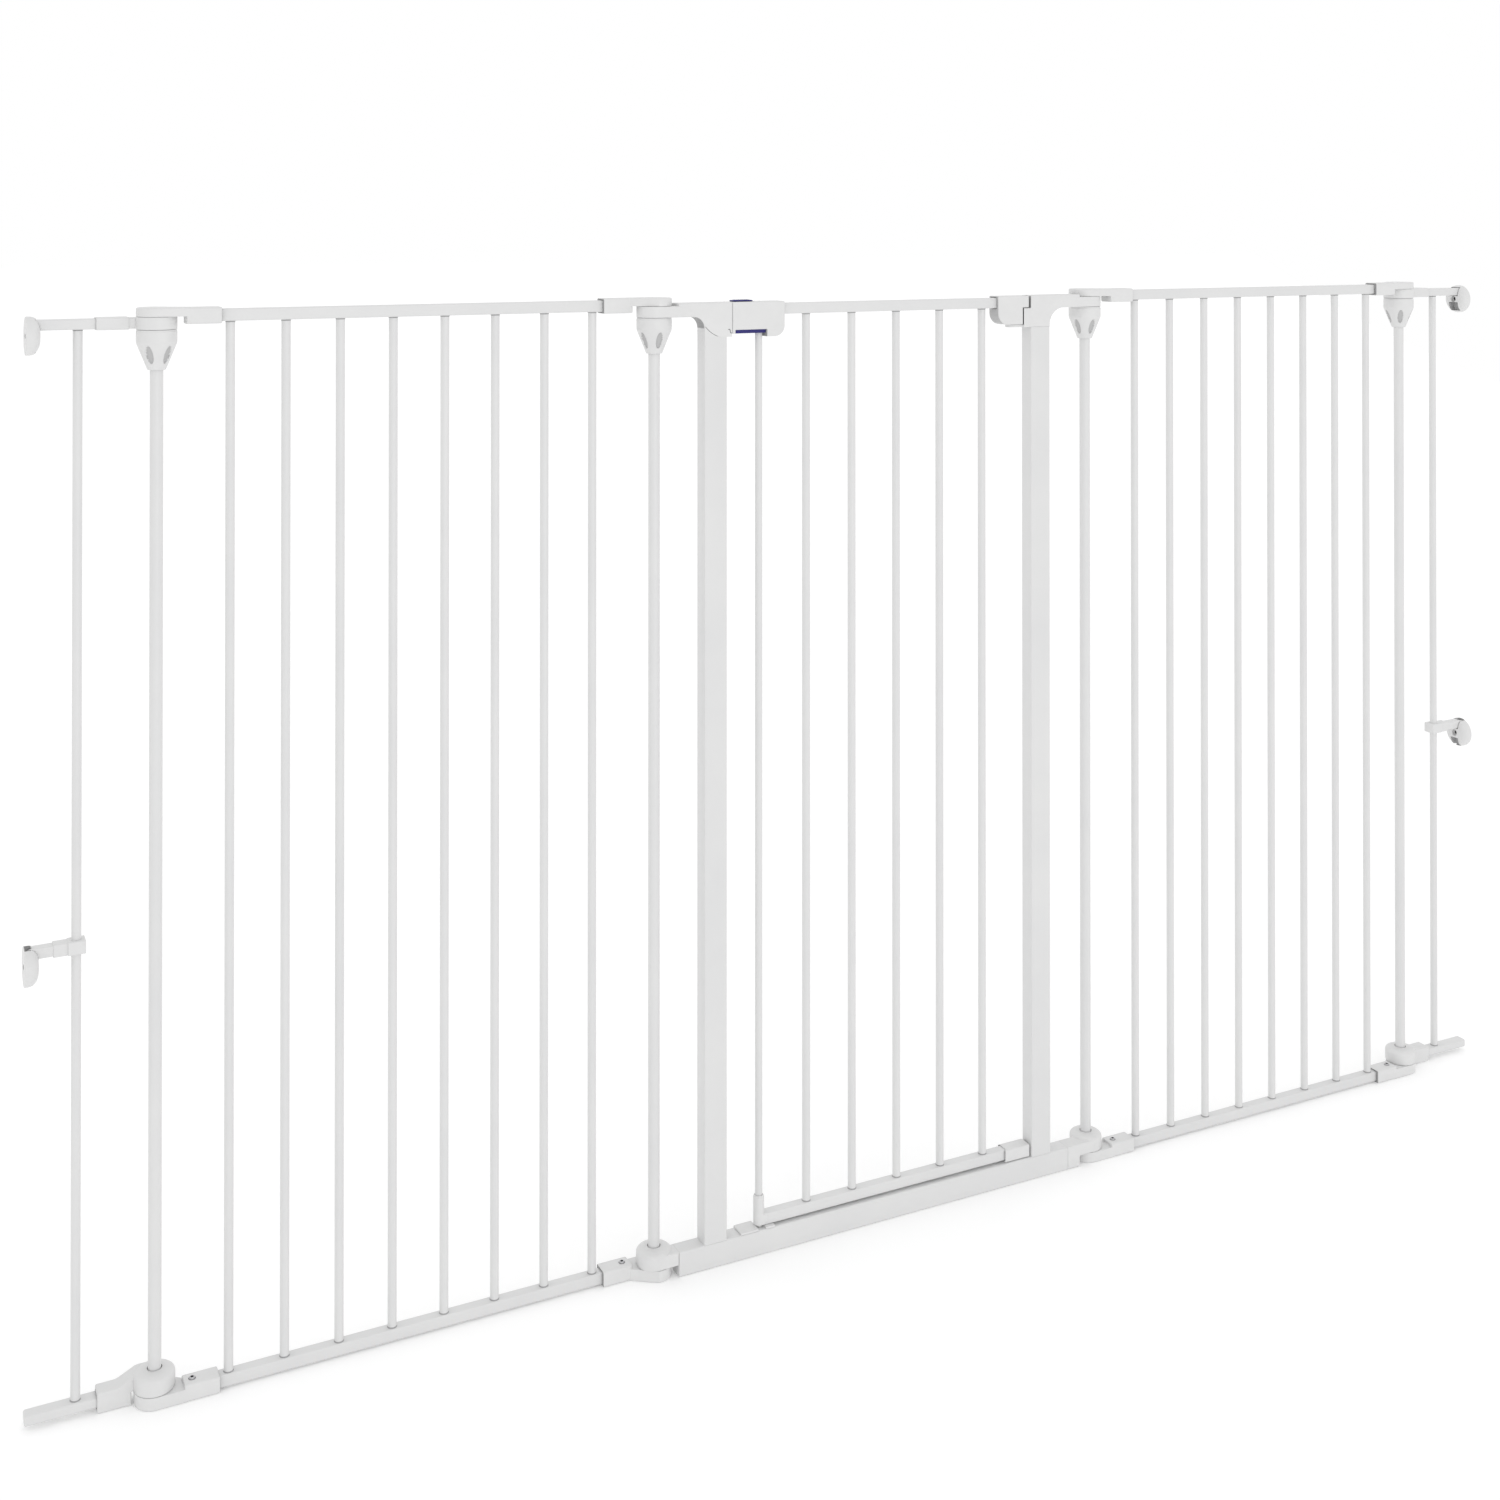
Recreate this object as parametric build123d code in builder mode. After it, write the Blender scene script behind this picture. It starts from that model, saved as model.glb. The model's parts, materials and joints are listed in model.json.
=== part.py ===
"""Folding safety gate: two barred panels and a door frame, hinged on four posts between two walls.

X runs along the gate, Y points away from the viewer, Z is up.  The floor is Z = 0, the door frame
stands in the plane Y = 0 and the second hinge post is at X = 0.
"""
from build123d import *
import os
from math import atan2, cos, hypot, sin

os.makedirs("parts", exist_ok=True)

# ---------------------------------------------------------------- driving dimensions (mm)
gate_height = 1041
panel_length = 510          # hinge post to hinge post across a barred panel
frame_length = 564          # hinge post to hinge post across the door frame
left_reach = 117            # wall to first hinge post
right_reach = 122           # last hinge post to wall
axis_offset = 9             # hinge posts stand this far behind or before the plane of a section

post_diameter = 12.5        # round hinge posts
post_wall = 1.2
bar_diameter = 9            # upright bars
bar_wall = 0.8
bar_count = 8
first_bar = 67.4            # hinge post to the first and from the last bar of a panel
rail_size = 12              # square rails of the panels and the door
rail_wall = 1.2
end_rail_depth = 14         # flat rails of the two end sections
end_rail_height = 10

knuckle_diameter = 38       # every round hinge moulding
panel_arm_thickness = 8.5
ring_height = 12
knuckle_height = 12.2
knuckle_dome = 6            # rise of the domed top above the rim
dome_shoulder_out = 0.75    # where the dome turns down, as shares of its radius and its rise
dome_shoulder_up = 0.7
arm_crest_out = 0.7         # where the arm of an end section leaves the dome, as shares of the same
arm_crest_up = 0.5
arm_slope = 0.4             # share of the block's length under the sloping arm
collar_straight = 12.5      # straight upper part of the lock collar
collar_taper = 26
collar_tip_diameter = 17
grip_count = 5              # oval finger recesses round the collar
grip_length = 20
grip_width = 7.6
grip_depth = 1.6
grip_rise = 1.8             # middle of a recess above the middle of the taper

sleeve_depth = 20           # mouldings that take the rail ends
sleeve_height = 16
sleeve_start = 25           # from the hinge axis
sleeve_length = 33
sleeve_socket = 29          # depth of the rail pocket
sleeve_rounding = 1.5
block_start = 21            # arm blocks of the end sections, from the hinge axis
block_length = 31
block_height = 19
block_socket = 27
wall_base = 2.5             # plastic left under or over a blind post hole

frame_depth = 20
frame_rail_height = 26.5
frame_post_width = 27
frame_wall = 1.5
frame_post_left = 64.25     # middle of each frame post from its hinge post
frame_post_right = 77.5
foot_gap = 2.5              # lower knuckle to the frame's foot
frame_foot_right = 40       # seam of the right foot, from the third hinge post
housing_drop = 5.7          # tops of the housings below the top of the gate
housing_height = 37.3
housing_shoulder = 1.5      # the housings rise this far outside the ring
catch_gusset_radius = 12.5  # quarter-round gussets under the housings
hinge_gusset_radius = 20
plug_length = 15

bar_from_post = 70.5        # the bar of an end section from its hinge post
end_sleeve_length = 30
end_sleeve_socket = 26
end_sleeve_inset = 1        # end mouldings are this much shallower on each side
neck_inset = 1              # neck between ring and sleeve, inside the sleeve's faces
neck_step = 0.8
wall_gap = 0.8              # bottom rails stop short of the wall
pad_diameter = 36.5
pad_rim = 3
pad_height = 13
top_pad_drop = 10           # screw hole of each pad below the middle of its rail or arm
mid_pad_drop = 12
pad_floor = 3               # pad left behind the rail socket
pad_brow_in = 0.68          # where the dome of the pad turns, as shares of its rise and radius
pad_brow_up = 0.8
screw_hole = 5
screw_recess = 8
recess_depth = 4
mid_arm_level = 440.5
mid_arm_size = 10
mid_arm_depth = 11
clamp_size = 16
clamp_height = 12.6
thick_arm_reach = 21        # thicker part of the arm, from the bar
thick_arm_step = 1

door_hinge_from_post = 111.5
catch_overhang = 5.75       # catch housing past its frame post
latch_gap = 0.7             # between the catch housing and the latch housing
latch_length = 63.8
latch_step_length = 41.3    # the housing is deeper from here to the right
latch_height = 38.3
latch_skirt_height = 30.3   # walls over the lift trigger
latch_rounding = 12
latch_wall = 2
lock_rod_inset = 5          # lock rod from the latch's step
lock_rod_diameter = 8
rod_lift = 10
rod_chamfer = 0.8
slide_travel = 8
thumb_inset = 2.8           # thumb slider from the left end of the latch housing
thumb_length = 24
thumb_width = 11
thumb_height = 1.8
stem_width = 7              # stem and foot that hold the thumb slider
stem_depth = 6
foot_lip = 2
foot_depth = 11
elbow_diameter = 12
elbow_height = 32
elbow_shoulder = 1
first_door_bar = 58.7       # lock rod to the first bar of the door
last_door_bar = 42.1        # last bar of the door to its hinge axis
door_bar_count = 5
door_lift = 2.5             # door above the frame rail
door_rail_drop = 14.3       # underside of the door's top rail below the housing tops
door_socket = 14            # rail pocket in the door's mouldings
hinge_pin_diameter = 6
top_pin_reach = 15          # pins into the door's mouldings
bottom_pin_reach = 12
hinge_lip = 3
hinge_lip_inset = 2.5
hinge_housing_reach = 25    # door's hinge mouldings from the hinge axis
hinge_sleeve_reach = 15
hinge_step_overlap = 8      # upper part of the door housing over the frame housing's step
hinge_upper_gap = 2.5       # beside that upper part
hinge_step_drop = 14.8
hinge_housing_height = 33.8
hinge_housing_rounding = 13.5
hinge_sleeve_height = 14.5
hinge_sleeve_depth = 17
catch_plate_left = 26       # catch plate from the lock rod
catch_plate_right = 15.5
catch_plate_height = 2.1
trigger_height = 5
trigger_sink = 4            # trigger in the skirt
trigger_room = 4            # free height over the lifted trigger
spring_room = 15            # length of the slider spring when pressed
spring_wire = 0.8
spring_turns = 4
rod_spring_diameter = 7
slider_spring_diameter = 4.8

# clearances
axial_gap = 0.3
running = 0.08              # radial play of a turning or sliding round part
face_gap = 0.5              # between flat faces that pass each other
fit = 0.1                   # a rail end in its socket
post_gap = 2                # door's hinge sleeve to the frame post

# clamp screws
screw_diameter = 6.2
screw_shank = 3.2
screw_length = 9

# ---------------------------------------------------------------- places worked out from them
post_r = post_diameter / 2
knuckle_r = knuckle_diameter / 2
half_sleeve = sleeve_depth / 2
half_frame = frame_depth / 2

fold_x = (-panel_length, 0, frame_length, frame_length + panel_length)
fold_y = (3 * axis_offset, axis_offset, axis_offset, axis_offset)
panel_y = (2 * axis_offset, 0)          # planes of the first and second barred panel
end_y = tuple(y + axis_offset for y in fold_y)      # planes of the end sections
wall_left = fold_x[0] - left_reach
wall_right = fold_x[3] + right_reach

panel_arm_z = gate_height - panel_arm_thickness
ring_top = panel_arm_z - axial_gap
ring_bottom = ring_top - ring_height
collar_top = ring_bottom - axial_gap
collar_neck = collar_top - collar_straight
collar_bottom = collar_neck - collar_taper
upper_knuckle_z = knuckle_height + axial_gap
upper_knuckle_rim = upper_knuckle_z + knuckle_height
upper_knuckle_top = upper_knuckle_rim + knuckle_dome

bottom_rail_z = (sleeve_height - rail_size) / 2
top_rail_z = gate_height - sleeve_height + bottom_rail_z
end_top_rail_z = (ring_bottom + ring_top - end_rail_height) / 2
end_bottom_rail_z = (block_height - end_rail_height) / 2
bar_pitch = (panel_length - 2 * first_bar) / (bar_count - 1)
clamp_screw_x = sleeve_start + sleeve_length / 4        # clamp screw from the hinge axis

housing_top = gate_height - housing_drop
housing_bottom = housing_top - housing_height
frame_post_x = (frame_post_left, frame_length - frame_post_right)
door_hinge_x = frame_length - door_hinge_from_post
catch_right = frame_post_left + frame_post_width / 2 + catch_overhang
latch_left = catch_right + latch_gap
latch_right = latch_left + latch_length
latch_step = latch_left + latch_step_length
latch_bottom = housing_top - latch_height
latch_skirt = housing_top - latch_skirt_height
lock_rod_x = latch_step - lock_rod_inset
thumb_left = latch_left + thumb_inset
door_rail_bottom = frame_rail_height + door_lift
door_rail_top = housing_top - door_rail_drop


def block(x_span, y_span, z_span, mode=Mode.ADD):
    """A box between two values on each axis, added to the open part."""
    x_low, x_high = sorted(x_span)
    y_low, y_high = sorted(y_span)
    z_low, z_high = sorted(z_span)
    with Locations(((x_low + x_high) / 2, (y_low + y_high) / 2, (z_low + z_high) / 2)):
        Box(x_high - x_low, y_high - y_low, z_high - z_low, mode=mode)


def disc(x, y, radius, z_span, mode=Mode.ADD):
    """An upright cylinder between two levels, added to the open part."""
    z_low, z_high = sorted(z_span)
    with Locations((x, y, (z_low + z_high) / 2)):
        Cylinder(radius, z_high - z_low, mode=mode)


def finish(part, label):
    """Names a piece and writes it to its own file."""
    part.label = label
    export_step(part, f"parts/{label}.step")


# ---------------------------------------------------------------- tubes
def upright_tubes(places, y, z_span, diameter, wall, label):
    """Round tubes standing side by side."""
    with BuildPart() as tubes:
        with BuildSketch(Plane.XY.offset(z_span[0])):
            with Locations(*[(x, y) for x in places]):
                Circle(diameter / 2)
                Circle(diameter / 2 - wall, mode=Mode.SUBTRACT)
        extrude(amount=z_span[1] - z_span[0])
    finish(tubes.part, label)


def level_tube(x_span, y, z_low, depth, height, wall, label, holes=(), hole_diameter=screw_shank + 0.4):
    """A rectangular tube along X, open at both ends, with round holes in its upper wall."""
    with BuildPart() as tube:
        half = depth / 2
        block(x_span, (y - half, y + half), (z_low, z_low + height))
        inner = half - wall
        block(x_span, (y - inner, y + inner), (z_low + wall, z_low + height - wall), Mode.SUBTRACT)
        for x in holes:
            disc(x, y, hole_diameter / 2, (z_low + height / 2, z_low + height), Mode.SUBTRACT)
    finish(tube.part, label)


# ---------------------------------------------------------------- panel mouldings
def panel_arm(fold, plane_y, side, top, label):
    """Hinge moulding at a corner of a barred panel: a round knuckle, an arm and a rail sleeve.

    side is +1 where the panel lies to the right of the hinge post.  The top moulding closes over
    the post end, the bottom one is the lower knuckle that the post stands in.
    """
    x, y = fold_x[fold], fold_y[fold]
    front, back = plane_y - half_sleeve, plane_y + half_sleeve
    thickness = panel_arm_thickness if top else knuckle_height
    z_low = panel_arm_z if top else 0
    sleeve_z = (gate_height - sleeve_height, gate_height) if top else (0, sleeve_height)
    rail_z = top_rail_z if top else bottom_rail_z
    start = x + side * sleeve_start
    end = start + side * sleeve_length
    far_side = back if plane_y > y else front
    near_side = front if plane_y > y else back
    web = knuckle_r if near_side > y else -knuckle_r
    with BuildPart() as arm:
        with BuildSketch(Plane.XY.offset(z_low)):
            with Locations((x, y)):
                Circle(knuckle_r)
            with BuildLine():
                Polyline((x, far_side), (start, far_side), (start, near_side), (x, y + web), close=True)
            make_face()
        extrude(amount=thickness)
        block((start, end), (front, back), sleeve_z)
        long_edges = arm.edges().filter_by(Axis.X).group_by(SortBy.LENGTH)[-1]
        fillet(long_edges, sleeve_rounding)
        pocket = end - side * sleeve_socket
        half = rail_size / 2 + fit
        block((pocket, end), (plane_y - half, plane_y + half),
              (rail_z - fit, rail_z + rail_size + fit), Mode.SUBTRACT)
        if top:
            hole_z = (z_low, gate_height - wall_base)
        else:
            hole_z = (wall_base, knuckle_height)
            disc(x + side * clamp_screw_x, plane_y, screw_diameter / 2 + fit,
                 (rail_z + rail_size, sleeve_height), Mode.SUBTRACT)
        disc(x, y, post_r + running, hole_z, Mode.SUBTRACT)
    finish(arm.part, label)


def clamp_screws(places, y, label):
    """Socket-headed screws that hold the bottom sleeves to their rail."""
    top = sleeve_height - axial_gap
    head_z = bottom_rail_z + rail_size + fit
    with BuildPart() as screws:
        for x in places:
            disc(x, y, screw_diameter / 2, (head_z, top))
            disc(x, y, screw_shank / 2, (top - screw_length, head_z))
        with BuildSketch(Plane.XY.offset(top)):
            with Locations(*[(x, y) for x in places]):
                RegularPolygon(screw_shank / 2, 6)
        extrude(amount=-(top - head_z) / 2, mode=Mode.SUBTRACT)
    finish(screws.part, label)


def barred_panel(left_fold, plane_y, name):
    """One barred panel: two rails, eight bars, four hinge mouldings and their screws."""
    left, right = fold_x[left_fold], fold_x[left_fold + 1]
    inset = sleeve_start + sleeve_length - sleeve_socket + axial_gap
    span = (left + inset, right - inset)
    screws = (left + clamp_screw_x, right - clamp_screw_x)
    level_tube(span, plane_y, top_rail_z, rail_size, rail_size, rail_wall, f"{name}_top_rail")
    level_tube(span, plane_y, bottom_rail_z, rail_size, rail_size, rail_wall,
               f"{name}_bottom_rail", holes=screws)
    bars = [left + first_bar + i * bar_pitch for i in range(bar_count)]
    upright_tubes(bars, plane_y, (bottom_rail_z + rail_size, top_rail_z), bar_diameter, bar_wall,
                  f"{name}_bars")
    for fold, side, end in ((left_fold, 1, "left"), (left_fold + 1, -1, "right")):
        panel_arm(fold, plane_y, side, True, f"{name}_top_arm_{end}")
        panel_arm(fold, plane_y, side, False, f"{name}_bottom_arm_{end}")
    clamp_screws(screws, plane_y, f"{name}_clamp_screws")


barred_panel(0, panel_y[0], "panel_1")
barred_panel(2, panel_y[1], "panel_2")


# ---------------------------------------------------------------- hinge posts and lock collars
def lock_collar(fold, first_grip, label):
    """Tulip-shaped collar round the post, with oval finger recesses spread round its taper.

    first_grip is the direction of the first recess, in degrees from +X towards +Y.
    """
    x, y = fold_x[fold], fold_y[fold]
    tip_r = collar_tip_diameter / 2
    middle_r = (knuckle_r + tip_r) / 2
    middle_z = (collar_neck + collar_bottom) / 2
    tilt = atan2(knuckle_r - tip_r, collar_taper)
    up = Vector(0, 0, 1)
    with BuildPart() as collar:
        with BuildSketch(Plane(origin=(x, y, 0), x_dir=(1, 0, 0), z_dir=(0, -1, 0))):
            with BuildLine():
                Polyline((0, collar_bottom), (tip_r, collar_bottom), (knuckle_r, collar_neck),
                         (knuckle_r, collar_top), (0, collar_top), close=True)
            make_face()
        revolve(axis=Axis((x, y, 0), (0, 0, 1)))
        for i in range(grip_count):
            outward = Vector(1, 0, 0).rotate(Axis.Z, first_grip + i * 360 / grip_count)
            along = outward * sin(tilt) + up * cos(tilt)
            normal = outward * cos(tilt) - up * sin(tilt)
            seat = Vector(x, y, middle_z) + outward * middle_r + along * grip_rise - normal * grip_depth
            with BuildSketch(Plane(origin=seat, x_dir=along, z_dir=normal)):
                Ellipse(grip_length / 2, grip_width / 2)
            extrude(amount=knuckle_r, mode=Mode.SUBTRACT)
        disc(x, y, post_r + running, (collar_bottom, collar_top), Mode.SUBTRACT)
    finish(collar.part, label)


for fold, first_grip in enumerate((90, 270, 270, 90)):
    upright_tubes([fold_x[fold]], fold_y[fold],
                  (wall_base + axial_gap, gate_height - wall_base - axial_gap),
                  post_diameter, post_wall, f"hinge_post_{fold + 1}")
    lock_collar(fold, first_grip, f"lock_collar_{fold + 1}")


# ---------------------------------------------------------------- end sections
def knuckle_dome_profile(x, y):
    """Outline of the upper knuckle, from the axis outwards, for a full turn about the post."""
    shoulder = (x + knuckle_r * dome_shoulder_out, upper_knuckle_rim + knuckle_dome * dome_shoulder_up)
    Line((x, upper_knuckle_z), (x + knuckle_r, upper_knuckle_z))
    Line((x + knuckle_r, upper_knuckle_z), (x + knuckle_r, upper_knuckle_rim))
    ThreePointArc((x + knuckle_r, upper_knuckle_rim), shoulder, (x + post_r, upper_knuckle_top))
    Line((x + post_r, upper_knuckle_top), (x, upper_knuckle_top))
    Line((x, upper_knuckle_top), (x, upper_knuckle_z))


def end_top_arm(fold, side, label):
    """Ring round the post, a short neck and the sleeve of the end section's top rail."""
    x, y = fold_x[fold], end_y[fold]
    start = x + side * sleeve_start
    end = start + side * end_sleeve_length
    half = half_sleeve - end_sleeve_inset
    neck = half - neck_inset
    rail_half = end_rail_depth / 2 + fit
    with BuildPart() as arm:
        disc(x, fold_y[fold], knuckle_r, (ring_bottom, ring_top))
        block((x, start), (y - neck, y + neck), (ring_bottom + neck_step, ring_top - neck_step))
        block((start, end), (y - half, y + half), (ring_bottom, ring_top))
        block((end - side * end_sleeve_socket, end), (y - rail_half, y + rail_half),
              (end_top_rail_z - fit, end_top_rail_z + end_rail_height + fit), Mode.SUBTRACT)
        disc(x, fold_y[fold], post_r, (ring_bottom, ring_top), Mode.SUBTRACT)
    finish(arm.part, label)


def end_bottom_arm(fold, side, label):
    """Upper knuckle with its domed top, an arm that drops to the block on the bottom rail."""
    x, y = fold_x[fold], end_y[fold]
    post_y = fold_y[fold]
    start = x + side * block_start
    end = start + side * block_length
    half = half_sleeve - end_sleeve_inset
    rail_half = end_rail_depth / 2 + fit
    crest = (x + side * knuckle_r * arm_crest_out, upper_knuckle_rim + knuckle_dome * arm_crest_up)
    shoulder_end = start + side * block_length * arm_slope
    with BuildPart() as arm:
        with BuildSketch(Plane(origin=(0, post_y, 0), x_dir=(1, 0, 0), z_dir=(0, -1, 0))):
            with BuildLine():
                knuckle_dome_profile(x, post_y)
            make_face()
        revolve(axis=Axis((x, post_y, 0), (0, 0, 1)))
        with BuildSketch(Plane(origin=(0, y - half, 0), x_dir=(1, 0, 0), z_dir=(0, -1, 0))):
            with BuildLine():
                Line((x, upper_knuckle_z), (x, crest[1]))
                Line((x, crest[1]), crest)
                Spline(crest, (shoulder_end, block_height), tangents=((side, -0.25), (side, 0)))
                Line((shoulder_end, block_height), (end, block_height))
                Line((end, block_height), (end, 0))
                Line((end, 0), (start, 0))
                Line((start, 0), (start, upper_knuckle_z))
                Line((start, upper_knuckle_z), (x, upper_knuckle_z))
            make_face()
        extrude(amount=-2 * half)
        block((end - side * block_socket, end), (y - rail_half, y + rail_half),
              (end_bottom_rail_z - fit, end_bottom_rail_z + end_rail_height + fit), Mode.SUBTRACT)
        disc(x, post_y, post_r, (upper_knuckle_z, upper_knuckle_top), Mode.SUBTRACT)
    finish(arm.part, label)


def wall_pad(wall_x, inward, y, z, socket_depth, socket_z, label):
    """Round domed pad on the wall, with its screw hole and the socket of a rail or arm above."""
    pad_r = pad_diameter / 2
    brow = (pad_rim + (pad_height - pad_rim) * pad_brow_in, pad_r * pad_brow_up)
    with BuildPart() as pad:
        with BuildSketch(Plane(origin=(wall_x, y, z), x_dir=(inward, 0, 0), z_dir=(0, -inward, 0))):
            with BuildLine():
                Line((0, 0), (0, pad_r))
                Line((0, pad_r), (pad_rim, pad_r))
                ThreePointArc((pad_rim, pad_r), brow, (pad_height, screw_recess))
                Line((pad_height, screw_recess), (pad_height, 0))
                Line((pad_height, 0), (0, 0))
            make_face()
        revolve(axis=Axis((wall_x, y, z), (1, 0, 0)))
        with BuildSketch(Plane(origin=(wall_x, y, z), z_dir=(inward, 0, 0))):
            Circle(screw_hole / 2)
        extrude(amount=pad_height, mode=Mode.SUBTRACT)
        with BuildSketch(Plane(origin=(wall_x + inward * pad_height, y, z), z_dir=(inward, 0, 0))):
            Circle(screw_recess / 2)
        extrude(amount=-recess_depth, mode=Mode.SUBTRACT)
        half = socket_depth / 2 + fit
        block((wall_x + inward * pad_floor, wall_x + inward * pad_height), (y - half, y + half),
              (socket_z[0] - fit, socket_z[1] + fit), Mode.SUBTRACT)
    finish(pad.part, label)


def mid_arm(wall_x, inward, y, bar_x, label):
    """Stepped arm from the mid-height pad to a clamp round the end bar."""
    low = mid_arm_level - mid_arm_size / 2
    high = mid_arm_level + mid_arm_size / 2
    half = mid_arm_depth / 2
    root = wall_x + inward * (pad_floor + fit)
    clamp_z = (mid_arm_level - clamp_height / 2, mid_arm_level + clamp_height / 2)
    step = bar_x - inward * thick_arm_reach
    thick = half + thick_arm_step
    with BuildPart() as arm:
        block((root, bar_x), (y - half, y + half), (low, high))
        block((step, bar_x), (y - thick, y + thick), (low - thick_arm_step, high + thick_arm_step))
        block((bar_x - inward * clamp_size / 2, bar_x + inward * clamp_size / 2),
              (y - clamp_size / 2, y + clamp_size / 2), clamp_z)
        disc(bar_x, y, bar_diameter / 2, clamp_z, Mode.SUBTRACT)
    finish(arm.part, label)


def end_section(fold, side, wall_x, bar_x, name):
    """Short end section between a hinge post and the wall."""
    x, y = fold_x[fold], end_y[fold]
    end_top_arm(fold, side, f"{name}_top_arm")
    end_bottom_arm(fold, side, f"{name}_bottom_arm")
    top_start = x + side * (sleeve_start + end_sleeve_length - end_sleeve_socket + axial_gap)
    bottom_start = x + side * (block_start + block_length - block_socket + axial_gap)
    level_tube((top_start, wall_x - side * (pad_floor + fit)), y, end_top_rail_z,
               end_rail_depth, end_rail_height, rail_wall, f"{name}_top_rail")
    level_tube((bottom_start, wall_x - side * wall_gap), y, end_bottom_rail_z,
               end_rail_depth, end_rail_height, rail_wall, f"{name}_bottom_rail")
    upright_tubes([bar_x], y, (end_bottom_rail_z + end_rail_height, end_top_rail_z),
                  bar_diameter, bar_wall, f"{name}_bar")
    rail_middle = end_top_rail_z + end_rail_height / 2
    wall_pad(wall_x, -side, y, rail_middle - top_pad_drop, end_rail_depth,
             (end_top_rail_z, end_top_rail_z + end_rail_height), f"{name}_top_pad")
    wall_pad(wall_x, -side, y, mid_arm_level - mid_pad_drop, mid_arm_depth,
             (mid_arm_level - mid_arm_size / 2, mid_arm_level + mid_arm_size / 2), f"{name}_mid_pad")
    mid_arm(wall_x, -side, y, bar_x, f"{name}_mid_arm")


end_section(0, -1, wall_left, fold_x[0] - bar_from_post, "left_end")
end_section(3, 1, wall_right, fold_x[3] + bar_from_post, "right_end")


# ---------------------------------------------------------------- door frame
foot_left_x = knuckle_r + foot_gap
foot_right_x = fold_x[2] - frame_foot_right
hinge_face = door_hinge_x + half_frame          # right face of the door housing's lower part
hinge_step_level = housing_top - hinge_step_drop
hinge_housing_left = door_hinge_x - hinge_housing_reach
hinge_housing_bottom = housing_top - hinge_housing_height
hinge_upper_face = hinge_face + hinge_step_overlap
pin_r = hinge_pin_diameter / 2

level_tube((foot_left_x, foot_right_x), 0, 0, frame_depth, frame_rail_height, frame_wall,
           "frame_rail", holes=(door_hinge_x,), hole_diameter=hinge_pin_diameter)

for place, end in zip(frame_post_x, ("left", "right")):
    with BuildPart() as post:
        with BuildSketch(Plane.XY.offset(frame_rail_height)):
            with Locations((place, 0)):
                Rectangle(frame_post_width, frame_depth)
                Rectangle(frame_post_width - 2 * frame_wall, frame_depth - 2 * frame_wall,
                          mode=Mode.SUBTRACT)
        extrude(amount=housing_bottom - frame_rail_height)
    finish(post.part, f"frame_post_{end}")


def frame_foot(fold, side, rail_end, label):
    """Foot of the door frame: domed upper knuckle, arm, and a plug in the end of the frame rail.

    side is +1 where the frame lies to the right of the hinge post.
    """
    x, y = fold_x[fold], fold_y[fold]
    notch = x + side * (knuckle_r + foot_gap)
    inner = half_frame - frame_wall - fit
    with BuildPart() as foot:
        with BuildSketch(Plane(origin=(0, y, 0), x_dir=(1, 0, 0), z_dir=(0, -1, 0))):
            with BuildLine():
                knuckle_dome_profile(x, y)
            make_face()
        revolve(axis=Axis((x, y, 0), (0, 0, 1)))
        block((x, rail_end), (-half_frame, half_frame), (upper_knuckle_z, frame_rail_height))
        if rail_end != notch:
            block((notch, rail_end), (-half_frame, half_frame), (0, frame_rail_height))
        block((rail_end, rail_end + side * plug_length), (-inner, inner),
              (frame_wall + fit, frame_rail_height - frame_wall - fit))
        disc(x, y, post_r, (upper_knuckle_z, upper_knuckle_top), Mode.SUBTRACT)
    finish(foot.part, label)


frame_foot(1, 1, foot_left_x, "frame_foot_left")
frame_foot(2, -1, foot_right_x, "frame_foot_right")


def post_plug(x):
    """Plug of a housing that goes down into its frame post."""
    half_x = frame_post_width / 2 - frame_wall - fit
    half_y = half_frame - frame_wall - fit
    block((x - half_x, x + half_x), (-half_y, half_y), (housing_bottom - plug_length, housing_bottom))


def housing_ring(fold, side):
    """Ring round the hinge post, joined to a housing by an arm as deep as the frame."""
    x, y = fold_x[fold], fold_y[fold]
    disc(x, y, knuckle_r, (ring_bottom, ring_top))
    block((x, x + side * (knuckle_r + 2)), (-half_frame, half_frame), (ring_bottom, ring_top))
    disc(x, y, post_r, (ring_bottom, ring_top), Mode.SUBTRACT)


def gusset(post_face, outward, radius):
    """Quarter-round edge from the side of a frame post up to the underside of its housing."""
    x, z = post_face + outward * radius, ring_bottom - radius
    reach = radius * 0.5 ** 0.5
    ThreePointArc((post_face, z), (x - outward * reach, z + reach), (x, ring_bottom))


shoulder_x = knuckle_r + housing_shoulder       # the housings rise above the ring from here

catch_post_left = frame_post_x[0] - frame_post_width / 2
thumb_z = housing_top + axial_gap

with BuildPart() as catch_housing:
    with BuildSketch(Plane(origin=(0, -half_frame, 0), x_dir=(1, 0, 0), z_dir=(0, -1, 0))):
        with BuildLine():
            Polyline((shoulder_x, ring_bottom), (shoulder_x, housing_top), (catch_right, housing_top),
                     (catch_right, housing_bottom), (catch_post_left, housing_bottom),
                     (catch_post_left, ring_bottom - catch_gusset_radius))
            gusset(catch_post_left, -1, catch_gusset_radius)
            Line((catch_post_left - catch_gusset_radius, ring_bottom), (shoulder_x, ring_bottom))
        make_face()
    extrude(amount=-frame_depth)
    post_plug(frame_post_x[0])
    housing_ring(1, 1)
finish(catch_housing.part, "catch_housing")

hinge_post_right = frame_post_x[1] + frame_post_width / 2
hinge_shoulder_x = fold_x[2] - shoulder_x
lip_r = half_frame - hinge_lip_inset
lip_z = hinge_housing_bottom - axial_gap
step_x = hinge_face + face_gap
upper_x = hinge_upper_face + hinge_upper_gap

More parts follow.
